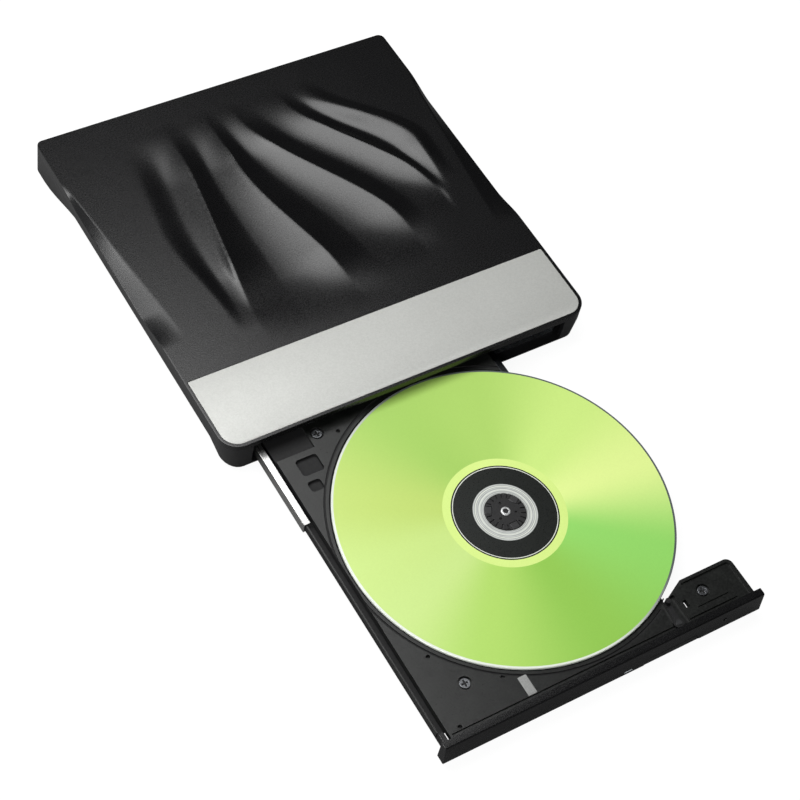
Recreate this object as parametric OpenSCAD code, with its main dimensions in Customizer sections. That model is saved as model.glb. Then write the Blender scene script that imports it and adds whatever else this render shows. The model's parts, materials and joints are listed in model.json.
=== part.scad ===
// External slim optical disc drive, drawn with its tray out.
// Front faces -Y, +Z is up, and the origin is under the middle of the whole object.

/* [Drive unit] */
// Room beside the disc, on each side, to the outside of the drive unit
drive_side = 4; // [3.5:0.1:5.5]
// Depth of the drive unit behind its bezel, beyond the disc's diameter
drive_ends = 9; // [8:0.5:14]
// Height of the drive unit
drive_h = 9.5; // [9.5:0.1:10.5]
// Sheet thickness of the drive's steel housing
sheet_t = 0.5; // [0.4:0.05:0.6]
// Depth of the disc's top face below the top of the drive unit
disc_drop = 3; // [2.8:0.1:3.4]

/* [Case] */
// Room between the drive unit and the outside of each case wall
side_room = 11; // [10.6:0.2:16]
// Room behind the drive unit to the outside of the back wall
rear_room = 19.7; // [19:0.2:26]
// Wall thickness of the base shell
wall_t = 1.5; // [1.2:0.1:1.8]
// Floor thickness of the base shell
floor_t = 1.5; // [1.4:0.1:2.4]
// Thickness of the top cover at its flat parts
top_t = 2.5; // [2.4:0.1:4]
// Gap between the drive unit and the top cover
lid_gap = 0.5; // [0.4:0.1:1.5]
// Radius of the case's front corners
front_r = 7.5; // [7:0.5:14]
// Radius of the case's back corners
back_r = 2.5; // [2:0.5:8]
// How far the side walls draw in under the rim
side_tuck = 3.4; // [0.4:0.2:3.6]
// How far the front lip draws in under the rim
front_tuck = 0.2; // [0:0.2:2]
// How far the side walls draw in right at the front corners
nose_tuck = 2; // [0:0.2:3.6]
// Length behind the front corners over which that changes to the full draw-in
nose_l = 12; // [6:1:30]
// Height of the straight band under the rim
band_h = 3.5; // [2:0.5:6]
// Length of the full-width back end
tail_l = 8; // [4:1:30]
// Length over which the sides swell out to the back end
flare_l = 26; // [15:1:45]
// Edge radius along the bottom
bottom_r = 0.8; // [0.4:0.1:1.2]

/* [Top cover] */
// Width of the rim around the trim panel
rim_w = 1.2; // [1:0.1:3]
// Depth of the trim panel, front to back
panel_d = 30.5; // [20:0.5:40]
// Thickness of the trim panel
panel_t = 0.8; // [0.6:0.1:1]
// Gap around the trim panel
panel_gap = 0.12; // [0.1:0.02:0.3]
// Height of the ridge crests above the flat of the cover
crest_h = 1.5; // [0.4:0.1:2]
// Depth of the hollows between the ridges
hollow_h = 1.3; // [0:0.1:1.4]
// Drop of the scooped side edges
scoop_drop = 2; // [0.5:0.1:2]
// Width of the side scoops at their front end
scoop_w = 9.5; // [5:0.5:12]

/* [Feet and screws] */
// Height of the rubber feet under the case
foot_h = 1.4; // [1:0.1:3]
// Radius of a rubber foot
foot_r = 5; // [4:0.5:6]
// Depth of the pocket that a foot is glued in
foot_pocket = 0.5; // [0.3:0.1:0.7]
// Radius of a case screw's shank
case_screw_r = 0.9; // [0.7:0.05:1]
// Radius of a small drive screw's shank
small_screw_r = 0.75; // [0.6:0.05:0.9]

/* [Tray] */
// Travel of the tray
tray_travel = 127; // [110:1:127.5]
// Thickness of the bezel
bezel_t = 3.6; // [3:0.1:5]
// Backward lean of the bezel's front face
bezel_lean = 0.9; // [0:0.1:1.5]
// Height of the tray's top face below the disc's top face
tray_drop = 0.5; // [0.3:0.1:0.7]
// Clearance between disc and tray, below the disc
disc_lift = 0.6; // [0.5:0.1:0.8]
// Clearance around the edge of the disc
disc_room = 0.6; // [0.5:0.1:1]
// Thickness of the tray's floor under the disc
tray_floor_t = 0.9; // [0.7:0.05:1]
// Distance from the bezel's face back to the edge of the disc
disc_front = 8.6; // [7.6:0.2:9]
// Offset of the spindle to the right of the drive's middle
spindle_x = 2; // [1.5:0.1:2.5]
// Depth of the tray's right-hand ear, from the bezel back
ear_d = 15.8; // [14:0.2:17]
// Rear right edge of the tray, from the drive's middle
tray_right = 33; // [31.5:0.5:34]

/* [Slide rails] */
// Height of the steel slide rails
rail_h = 4.5; // [4:0.1:4.6]
// Flange width of the steel slide rails
rail_w = 2.4; // [2:0.1:2.6]
// Sheet thickness of the slide rails
rail_t = 0.45; // [0.35:0.05:0.55]
// Sliding clearance of rails and runners
rail_gap = 0.25; // [0.15:0.05:0.3]
// How far the rails stand out of the case when the tray is out
rail_out = 33; // [25:1:40]
// Thickness of the fixed guides
guide_t = 0.5; // [0.4:0.05:0.6]

/* [Disc and spindle] */
// Diameter of the disc
disc_d = 120; // [118:0.5:120.4]
// Thickness of the disc
disc_t = 1.2; // [1.1:0.05:1.3]
// Diameter of the disc's centre hole
disc_hole = 15; // [15:0.1:16]
// Clearance between hub and disc hole
hub_gap = 0.2; // [0.1:0.05:0.3]
// Radius of the spindle shaft
shaft_r = 1; // [0.8:0.1:1.2]
// Running clearance of the shaft in its sleeve
shaft_gap = 0.04; // [0.02:0.01:0.08]

/* [Pickup] */
// Lens radius from the spindle at the inner end of its travel
lens_in = 24; // [23:0.5:26]
// Distance of the lens from the disc's edge at the outer end of its travel
lens_edge = 4; // [3.5:0.5:10]
// Direction of the pickup's travel, degrees from +X
deck_turn = 225; // [222:1:228]
// Radius of the guide rods
rod_r = 0.75; // [0.6:0.05:0.8]
// Running clearance of the sled on its rods
rod_gap = 0.05; // [0.03:0.01:0.08]
// Radius of the lead screw
screw_r = 0.9; // [0.7:0.05:1]

/* [Eject button] */
// Width of the eject button
button_w = 23; // [16:1:28]
// Height of the eject button
button_h = 3; // [2.4:0.1:3.1]
// Travel of the eject button
button_travel = 0.6; // [0.3:0.1:0.8]
// Gap around the eject button
button_gap = 0.15; // [0.1:0.05:0.25]

/* [Hidden] */
$fn = 48;
eps = 0.01;
slack = 0.2;

seat_gap = 0.3;
drive_w = disc_d + 2 * drive_side;
drive_d = disc_d + drive_ends;
total_l = bezel_t + seat_gap + drive_d + rear_room + tray_travel;
case_w = drive_w + 2 * side_room;
case_x = case_w / 2;
case_y1 = total_l / 2;
case_y0 = -total_l / 2 + tray_travel;
bezel_y0 = -total_l / 2;
bezel_y1 = bezel_y0 + bezel_t;
floor_z0 = foot_h;
floor_z1 = floor_z0 + floor_t;
drive_x = drive_w / 2;
drive_y0 = case_y0 + bezel_t + seat_gap;
drive_y1 = drive_y0 + drive_d;
drive_z0 = floor_z1;
drive_z1 = drive_z0 + drive_h;
pan_z = drive_z0 + sheet_t;
roof_z = drive_z1 - sheet_t;
lid_z0 = drive_z1 + lid_gap;
lid_z1 = lid_z0 + top_t;
band_z = lid_z0 - band_h;
rear_d = 20;
rear_y0 = drive_y1 - rear_d;

disc_x = spindle_x;
disc_y = bezel_y0 + disc_front + disc_d / 2;
disc_z1 = drive_z1 - disc_drop;
disc_z0 = disc_z1 - disc_t;
recess_r = disc_d / 2 + disc_room;
tray_z1 = disc_z1 - tray_drop;
well_z = disc_z0 - disc_lift;
tray_z0 = well_z - tray_floor_t;
tray_edge = 0.5;
tray_x0 = disc_x - recess_r - tray_edge;
tray_back_gap = 1.2;
tray_y1 = drive_y1 - sheet_t - tray_back_gap - tray_travel;
ear_x = drive_x - sheet_t - 0.7;
ear_y = bezel_y1 + ear_d;
skirt_t = 1.2;

rail_y0 = case_y0 - rail_out;
rail_end_gap = 1.5;
rail_y1 = drive_y1 - sheet_t - rail_end_gap - tray_travel / 2;
rail_z0 = pan_z + guide_t + rail_gap;
rail_z1 = rail_z0 + rail_h;
low_z1 = disc_z0 - 0.4 - guide_t - rail_gap;
left_web = -drive_x + sheet_t + guide_t + rail_gap;
right_web = tray_right + 1.2 + rail_w;
runner_z0 = rail_z0 + rail_t + rail_gap;
runner_z1 = rail_z1 - rail_t - rail_gap;
low_runner_z1 = low_z1 - rail_t - rail_gap;

hub_r = disc_hole / 2 - hub_gap;
lens_out = disc_d / 2 - lens_edge;
table_r = 13.5;
rotor_r = 9.6;
deck_t = 0.6;
deck_z1 = tray_z0 - 0.1;
deck_z0 = deck_z1 - deck_t;
deck_back = 20;
deck_half = 19;
deck_end = lens_out + 9.5;
window_half = 9.5;
sled_half = 6;
head_end = lens_out + 3;
sled_z0 = pan_z + slack;
sled_z1 = deck_z0 - 0.1;
rod_z = (sled_z0 + sled_z1) / 2;
rod_c = 12.5;
screw_c = 16.2;
rod_in = 14;
hanger = 2.4;
board_t = 0.8;
board_z1 = tray_z0;
board_z0 = board_z1 - board_t;

boss_r = 2.1;
boss_x = drive_x + 0.9 + boss_r;
case_screw_at = [
    [-boss_x, case_y0 + 18],
    [boss_x, case_y0 + 18],
    [-boss_x, case_y1 - 9],
    [boss_x, case_y1 - 9]
];
foot_at = [
    [-case_x + 19, case_y0 + 16],
    [case_x - 19, case_y0 + 16],
    [-case_x + 19, case_y1 - 12],
    [case_x - 19, case_y1 - 12]
];
drive_screw_in = [16, 24];
drive_screw_at = [
    [-drive_x + drive_screw_in[0], drive_y0 + drive_screw_in[1]],
    [drive_x - drive_screw_in[0], drive_y0 + drive_screw_in[1]],
    [-drive_x + drive_screw_in[0], drive_y1 - drive_screw_in[1]],
    [drive_x - drive_screw_in[0], drive_y1 - drive_screw_in[1]]
];
tab_w = 5;
cover_screw_at = [
    [-drive_x + sheet_t + tab_w / 2, drive_y0 + 10],
    [drive_x - sheet_t - tab_w / 2, drive_y0 + 10],
    [-drive_x + sheet_t + tab_w / 2, drive_y1 - 10],
    [drive_x - sheet_t - tab_w / 2, drive_y1 - 10]
];
tray_screw_at = [
    [tray_x0 + 18.5, tray_y1 - 6.4],
    [tray_x0 + 14.3, bezel_y1 + 15.8],
    [ear_x - 15.5, bezel_y1 + 9.3]
];
damper_at = [
    [-14, -15],
    [-14, 15],
    [lens_out - 2, -rod_c - 4.4]
];
damper_r = 2.1;
motor_half = 2;

// Each ridge crest: x at the back, x at the front, y where it starts to swing,
// y where it has swung, and the y where the crest dies away at the front
ridges = [
    [-28, -38.8, 125, 25, 36],
    [-11.3, 1.3, 100, 30, 27],
    [0, 34, 125, 46, 37],
    [20, 54, 128, 58, 53],
    [31, 58.6, 128, 85, 62]
];
ridge_y1 = case_y1 - 14;
back_fade = 26;
front_fade = 26;
first_rise = 20;
first_end = 0.45;
first_taper = 50;
roll_share = 0.5;
fall_share = 0.42;
fall_curve = 1.4;
last_fall = 6;
foot_lead = 6;
sculpt_y0 = case_y0 + rim_w + panel_d + 3;
rows_n = 24;
scoop_front = 13;
scoop_end_w = 0.6;
scoop_back = 22;
scoop_y0 = sculpt_y0 + scoop_front;
scoop_y1 = case_y1 - scoop_back;

// Common shapes

function smooth(t) = let (u = max(0, min(1, t))) u * u * (3 - 2 * u);

function arc(c, r, a0, a1, n = 10) =
    [for (i = [0:n]) c + r * [cos(a0 + (a1 - a0) * i / n), sin(a0 + (a1 - a0) * i / n)]];

function rounded(x0, x1, y0, y1, rf, rb) = concat(
    arc([x0 + rf, y0 + rf], rf, 180, 270),
    arc([x1 - rf, y0 + rf], rf, 270, 360),
    arc([x1 - rb, y1 - rb], rb, 0, 90),
    arc([x0 + rb, y1 - rb], rb, 90, 180)
);

module block(lo, hi) {
    translate(lo) cube(hi - lo);
}

module slab(points, z0, z1) {
    translate([0, 0, z0]) linear_extrude(z1 - z0) polygon(points);
}

module rod(at, r, z0, z1) {
    translate([at[0], at[1], z0]) cylinder(r = r, h = z1 - z0);
}

module ring(at, r_out, r_in, z0, z1) {
    difference() {
        rod(at, r_out, z0, z1);
        rod(at, r_in, z0 - 1, z1 + 1);
    }
}

module on_deck() {
    translate([disc_x, disc_y, 0]) rotate([0, 0, deck_turn]) children();
}

module cross_screw(at, head_r, head_z0, head_z1, shank_r, z_end) {
    slot_w = head_r * 0.3;
    slot_z = head_z1 > z_end ? head_z1 : head_z0;
    difference() {
        union() {
            rod(at, head_r, head_z0, head_z1);
            rod(at, shank_r, min(z_end, head_z0), max(z_end, head_z1));
        }
        for (a = [0, 90])
            translate([at[0], at[1], slot_z]) rotate([0, 0, a])
                cube([head_r * 1.3, slot_w, (head_z1 - head_z0)], center = true);
    }
}

// Case

flare_n = 6;
front_n = 7;
back_n = 4;

nose_y = case_y0 + front_r + nose_l;

// The sides draw in over the nose, run on drawn in and swell out again to the tail
function side_pull(y) =
    let (nose = max(0, min(1, (nose_y - y) / nose_l)))
    (side_tuck + (nose_tuck - side_tuck) * nose) * (1 - smooth((y - (case_y1 - tail_l - flare_l)) / flare_l));

function flare_y(i) = case_y1 - tail_l - flare_l + flare_l * i / flare_n;

function corner(cx, cy, r, a0, n) = [for (i = [0:n]) let (a = a0 + 90 * i / n)
    [cx + r * cos(a), cy + r * sin(a), cos(a), sin(a)]];

// Plan points of the case with their outward directions, anticlockwise from the front left corner
plan = concat(
    corner(-case_x + front_r, case_y0 + front_r, front_r, 180, front_n),
    corner(case_x - front_r, case_y0 + front_r, front_r, 270, front_n),
    [[case_x, nose_y, 1, 0]],
    [for (i = [0:flare_n]) [case_x, flare_y(i), 1, 0]],
    corner(case_x - back_r, case_y1 - back_r, back_r, 0, back_n),
    corner(-case_x + back_r, case_y1 - back_r, back_r, 90, back_n),
    [for (i = [flare_n:-1:0]) [-case_x, flare_y(i), -1, 0]],
    [[-case_x, nose_y, -1, 0]]
);

// One level of the base shell: pull is the share of the draw-in, inset a plain offset inwards
function level(z, pull, inset) = [for (p = plan)
    let (tuck_x = pull * side_pull(p[1]), tuck_y = p[3] < 0 ? pull * front_tuck : 0)
    [p[0] - p[2] * (tuck_x + inset), p[1] - p[3] * (tuck_y + inset), z]];

module loft(levels) {
    n = len(plan);
    m = len(levels);
    mid_y = (case_y0 + case_y1) / 2;
    caps = [[0, mid_y, levels[0][0][2]], [0, mid_y, levels[m - 1][0][2]]];
    polyhedron(
        points = concat([for (l = levels) each l], caps),
        faces = concat(
            [for (i = [0:n - 1]) [m * n, i, (i + 1) % n]],
            [for (k = [0:m - 2], i = [0:n - 1])
                [k * n + i, (k + 1) * n + i, (k + 1) * n + (i + 1) % n, k * n + (i + 1) % n]],
            [for (i = [0:n - 1]) [m * n + 1, (m - 1) * n + (i + 1) % n, (m - 1) * n + i]]
        ));
}

function pull_at(z) = max(0, (band_z - z) / (band_z - floor_z0));

usb_w = 9;
usb_h = 3.2;
usb_d = 7.6;
usb_x = -20;
bridge_z0 = floor_z1 + 2;
bridge_z1 = bridge_z0 + 1;
bridge_y0 = drive_y1 + 7;
bridge_y1 = case_y1 - wall_t - 0.6;
bridge_x0 = usb_x - 8;
bridge_x1 = drive_x - 10;
post_r = 2;
post_at = [[bridge_x0 + 3, bridge_y0 + 3], [bridge_x1 - 3, bridge_y0 + 3]];

module base_shell() {
    color("#3a3b3d") {
        difference() {
            loft([
                level(floor_z0, 1, bottom_r),
                level(floor_z0 + bottom_r, pull_at(floor_z0 + bottom_r), 0),
                level(band_z, 0, 0),
                level(lid_z0, 0, 0)
            ]);
            loft([
                level(floor_z1, pull_at(floor_z1), wall_t),
                level(band_z, 0, wall_t),
                level(lid_z0 + 1, 0, wall_t)
            ]);
            block([-drive_x - 0.6, case_y0 - 1, floor_z1],
                  [drive_x + 0.6, case_y0 + front_r, lid_z0 + 1]);
            for (p = foot_at)
                rod(p, foot_r + 0.1, floor_z0 - 1, floor_z0 + foot_pocket);
            for (p = case_screw_at) {
                rod(p, case_screw_r + 0.2, floor_z0 - 1, lid_z0);
                rod(p, case_screw_r + 1.1, floor_z0 - 1, floor_z0 + 1.1);
            }
            for (p = drive_screw_at) {
                rod(p, small_screw_r + 0.2, floor_z0 - 1, lid_z0);
                rod(p, small_screw_r + 1.1, floor_z0 - 1, floor_z0 + 0.8);
            }
            block([usb_x - usb_w / 2 - slack, case_y1 - wall_t - 1, bridge_z1 - slack],
                  [usb_x + usb_w / 2 + slack, case_y1 + 1, bridge_z1 + usb_h + slack]);
        }
        for (p = case_screw_at)
            ring(p, boss_r, case_screw_r + 0.2, floor_z1, lid_z0);
        for (p = post_at)
            rod(p, post_r, floor_z1, bridge_z0);
    }
}

function crest_x(r, y) = r[0] + (r[1] - r[0]) * smooth((r[2] - y) / (r[2] - r[3]));

function crest_on(r, y) = smooth((ridge_y1 + 4 - y) / back_fade) * smooth((y - r[4]) / front_fade);

// The fall behind a crest takes its share of the way to the next crest
function fall_end(i, y) =
    let (c = crest_x(ridges[i], y))
    i + 1 < len(ridges) ? c + fall_share * (crest_x(ridges[i + 1], y) - c) : c + last_fall;

// The slope of the first ridge narrows towards its front end
function rise_from(i, y) =
    let (share = first_end + (1 - first_end) * smooth((y - ridges[0][4]) / first_taper))
    i == 0 ? crest_x(ridges[0], y) - first_rise * share : fall_end(i - 1, y);

// Height of the hollow before ridge i: it fades towards the back, and in front a little ahead of its crest
function foot_z(i, y) =
    -hollow_h * smooth((ridge_y1 - y) / back_fade) * smooth((y - ridges[i][4] + foot_lead) / front_fade);

// Height on the slope of ridge i: u runs from its foot to its crest, and on to 2 at the end of its fall.
// The first ridge has no fall before it, so the flat rolls down into its hollow over the roll share.
// The last ridge has a round crest.
function ridge_z(i, u, y) =
    let (
        on = crest_on(ridges[i], y),
        foot = foot_z(i, y),
        round_top = i + 1 == len(ridges),
        end = round_top ? 0 : foot_z(i + 1, y),
        top = round_top ? crest_h * on : foot + (crest_h - foot) * on,
        roll = i == 0 ? roll_share : 0
    )
    u < roll ? foot * smooth(u / roll)
    : u < 1 ? foot + (top - foot) * (round_top ? smooth(u) : pow((u - roll) / (1 - roll), 2))
    : end + (top - end) * (round_top ? smooth(2 - u) : pow(2 - u, fall_curve));

slopes = [0, 0.3, 0.55, 0.8, 1, 1.15, 1.35, 1.65];
first_slopes = [0, 0.15, 0.3, 0.5, 0.7, 0.85, 1, 1.15, 1.35, 1.65];

function scoop_on(y) =
    let (t = (y - scoop_y0) / (scoop_y1 - scoop_y0))
    smooth(t * 5) * smooth((1 - t) * 5);

function scoop_in(y) =
    let (t = max(0, min(1, (y - scoop_y0) / (scoop_y1 - scoop_y0))))
    scoop_end_w + (scoop_w - scoop_end_w) * (1 - t);

// One row of the cover's top, left to right, following the crests
function cover_row(y) =
    let (
        last = len(ridges) - 1,
        w = scoop_in(y),
        drop = scoop_drop * scoop_on(y) * (w + 1) / w,
        ends = fall_end(last, y)
    )
    concat(
        [[-case_x - 1, y, lid_z1 - drop], [-case_x + w, y, lid_z1]],
        [for (i = [0:last], u = i == 0 ? first_slopes : slopes)
            let (from = rise_from(i, y), c = crest_x(ridges[i], y), to = fall_end(i, y))
            [u < 1 ? from + (c - from) * u : c + (to - c) * (u - 1), y, lid_z1 + ridge_z(i, u, y)]],
        [[ends, y, lid_z1], [case_x - w, y, lid_z1], [case_x + 1, y, lid_z1 - drop]]
    );

cover_rows = concat(
    [case_y0 - 1, sculpt_y0],
    [for (j = [1:rows_n]) sculpt_y0 + (ridge_y1 + 5 - sculpt_y0) * j / rows_n],
    [case_y1 + 1]
);

module cover_block() {
    rows = [for (y = cover_rows) cover_row(y)];
    m = len(rows);
    n = len(rows[0]);
    under = [for (j = [0, m - 1], i = [0, n - 1]) [rows[j][i][0], rows[j][i][1], lid_z0 - 1]];
    b = m * n;
    polyhedron(
        points = concat([for (r = rows) each r], under),
        faces = concat(
            [for (j = [0:m - 2], i = [0:n - 2]) [j * n + i, (j + 1) * n + i, j * n + i + 1]],
            [for (j = [0:m - 2], i = [0:n - 2]) [(j + 1) * n + i, (j + 1) * n + i + 1, j * n + i + 1]],
            [[b, b + 1, b + 3, b + 2]],
            [concat([b], [for (i = [0:n - 1]) i], [b + 1])],
            [concat([b + 3], [for (i = [0:n - 1]) m * n - 1 - i], [b + 2])],
            [concat([b + 2], [for (j = [0:m - 1]) (m - 1 - j) * n], [b])],
            [concat([b + 1], [for (j = [0:m - 1]) j * n + n - 1], [b + 3])]
        ));
}

function panel_plan(grow) = rounded(
    -case_x + rim_w - grow, case_x - rim_w + grow,
    case_y0 + rim_w - grow, case_y0 + rim_w + panel_d + grow,
    front_r - rim_w + grow, 0.3);

module top_cover() {
    color("#2a2a2c") difference() {
        intersection() {
            cover_block();
            slab([for (p = plan) [p[0], p[1]]], lid_z0, lid_z1 + crest_h + 1);
        }
        slab(panel_plan(panel_gap), lid_z1 - panel_t, lid_z1 + 1);
        for (p = case_screw_at)
            rod(p, case_screw_r + 0.05, lid_z0 - 1, lid_z0 + 1.3);
    }
}

module trim_panel() {
    color("#c9c9c6") slab(panel_plan(0), lid_z1 - panel_t, lid_z1);
}

module rubber_feet() {
    color("#1c1c1c") for (p = foot_at)
        rod(p, foot_r, 0, floor_z0 + foot_pocket);
}

module case_screws() {
    color("#8b8d90") for (p = case_screw_at)
        cross_screw(p, case_screw_r + 0.9, floor_z0 + 0.2, floor_z0 + 1.1, case_screw_r, lid_z0 + 1.2);
}

module drive_screws() {
    color("#8b8d90") for (p = drive_screw_at)
        cross_screw(p, small_screw_r + 0.9, floor_z0 + 0.2, floor_z0 + 0.8, small_screw_r, pan_z);
}

// Drive housing

plug_x1 = drive_x - 18;
plug_x0 = plug_x1 - 30;
plug_z1 = pan_z + 4.8;

module chassis_lower() {
    color("#a9adb1") difference() {
        union() {
            block([-drive_x, drive_y0, drive_z0], [drive_x, drive_y1, pan_z]);
            for (s = [-1, 1])
                block([s > 0 ? drive_x - sheet_t : -drive_x, drive_y0, drive_z0],
                      [s > 0 ? drive_x : -drive_x + sheet_t, drive_y1, roof_z]);
            block([-drive_x, drive_y1 - sheet_t, drive_z0], [drive_x, drive_y1, roof_z]);
            for (p = cover_screw_at)
                block([p[0] - tab_w / 2, p[1] - 3, roof_z - 1.4], [p[0] + tab_w / 2, p[1] + 3, roof_z]);
        }
        for (p = cover_screw_at)
            rod(p, small_screw_r + 0.04, roof_z - 3, roof_z + 1);
        for (p = drive_screw_at)
            rod(p, small_screw_r + 0.04, drive_z0 - 1, pan_z + 1);
        block([plug_x0 - slack, drive_y1 - sheet_t - 1, pan_z], [plug_x1 + slack, drive_y1 + 1, plug_z1 + slack]);
    }
}

nub_r = 1;
lever_l = 8;
lever_turn = 85;
latch_at = [tray_right - 0.5, bezel_y1 + 2.8];
nub_at = latch_at + lever_l * [cos(lever_turn), sin(lever_turn)];
stud_at = nub_at + [2 * nub_r + 0.5, tray_travel - 2 * nub_r - 0.5];

module chassis_upper() {
    color("#b4b8bc") {
        difference() {
            block([-drive_x, drive_y0, roof_z], [drive_x, drive_y1, drive_z1]);
            for (p = cover_screw_at)
                rod(p, small_screw_r + 0.1, roof_z - 1, drive_z1 + 1);
        }
        rod(stud_at, nub_r, disc_z1 + 0.35, roof_z);
    }
}

module cover_screws() {
    color("#8b8d90") for (p = cover_screw_at)
        cross_screw(p, small_screw_r + 0.7, drive_z1, drive_z1 + 0.3, small_screw_r, roof_z - 1.2);
}

// Slide rails: the fixed guide holds a steel channel, which holds the tray's runner.
// The right-hand set is lower, because the disc passes over it.

right_guide_y0 = drive_y0 + ear_d + 2;
right_guide_y1 = rear_y0 - 0.5;
guide_foot_w = 4;

module guide_section(web, z1, y0, y1) {
    back = web - rail_gap - guide_t;
    lip_z = z1 + rail_gap;
    block([back, y0, pan_z], [web - rail_gap, y1, lip_z + guide_t]);
    block([back, y0, pan_z], [web + rail_w, y1, pan_z + guide_t]);
    block([back, y0, lip_z], [web + rail_w * 0.7, y1, lip_z + guide_t]);
}

module rail_section(web, z1) {
    block([web, rail_y0, rail_z0], [web + rail_t, rail_y1, z1]);
    block([web, rail_y0, rail_z0], [web + rail_w, rail_y1, rail_z0 + rail_t]);
    block([web, rail_y0, z1 - rail_t], [web + rail_w, rail_y1, z1]);
}

module left_guide() {
    color("#2d2e30") guide_section(left_web, rail_z1, drive_y0 + 0.5, drive_y1 - sheet_t - 0.5);
}

module right_guide() {
    foot_x = right_web + rail_gap + guide_t;
    color("#2d2e30") {
        mirror([1, 0, 0]) guide_section(-right_web, low_z1, right_guide_y0, right_guide_y1);
        block([foot_x - eps, right_guide_y0, pan_z], [foot_x + guide_foot_w, right_guide_y1, pan_z + guide_t]);
    }
}

module left_slide_rail() {
    color("#c4c6c8") rail_section(left_web, rail_z1);
}

module right_slide_rail() {
    color("#c4c6c8") mirror([1, 0, 0]) rail_section(-right_web, low_z1);
}

// Tray

ear_r = 2.6;
chamfer_x = 8.5;
tray_plan = concat(
    [[tray_x0, bezel_y1], [ear_x, bezel_y1]],
    arc([ear_x - ear_r, ear_y - ear_r], ear_r, 0, 90, 8),
    [[tray_right + chamfer_x, ear_y], [tray_right, ear_y - chamfer_x / 2],
    [tray_right, tray_y1], [tray_x0, tray_y1]]
);
runner_front = bezel_y1 + 5;
runner_x0 = left_web + rail_t + rail_gap;
runner_lip = 0.5;
channel_d = 2.1;
right_runner_front = disc_y - disc_d / 2 + 22;
notch_w = 15;
notch_d = 11;
window_at = [[tray_x0 + 9.8, tray_y1 - 16.9, 8.4, 7], [tray_x0 + 7.7, tray_y1 - 25, 5, 4.4]];
pinhole_at = [
    [tray_x0 + 25.6, tray_y1 - 8.7],
    [tray_x0 + 8.3, bezel_y1 + 29.2],
    [tray_x0 + 4.6, bezel_y1 + 3.2],
    [tray_x0 + 26.6, bezel_y1 + 12.1]
];
ear_rim_w = 1.2;
ear_rim_h = 0.8;
ear_c = [ear_x - ear_r, ear_y - ear_r];
ear_rim = concat(
    [[tray_right + chamfer_x, ear_y]],
    arc(ear_c, ear_r, 90, 0, 8),
    [[ear_x, bezel_y1], [ear_x - ear_rim_w, bezel_y1]],
    arc(ear_c, ear_r - ear_rim_w, 0, 90, 8),
    [[tray_right + chamfer_x, ear_y - ear_rim_w]]
);
slit_at = [tray_right + 5.2, bezel_y1 + 6.2];
slit_size = [1.5, 2.8];
rib_in = 1;
rib_y0 = bezel_y1 + 0.5;
rib_y1 = rib_y0 + 1;
rib_h = 0.5;
groove_w = 0.8;
groove_d = 0.6;
pad_at = [tray_x0 + 30.6, rib_y1 + groove_w + 0.1];
pad_size = [3.3, 7.2, 0.15];
latch_floor = tray_z1 - 1.5;

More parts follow.
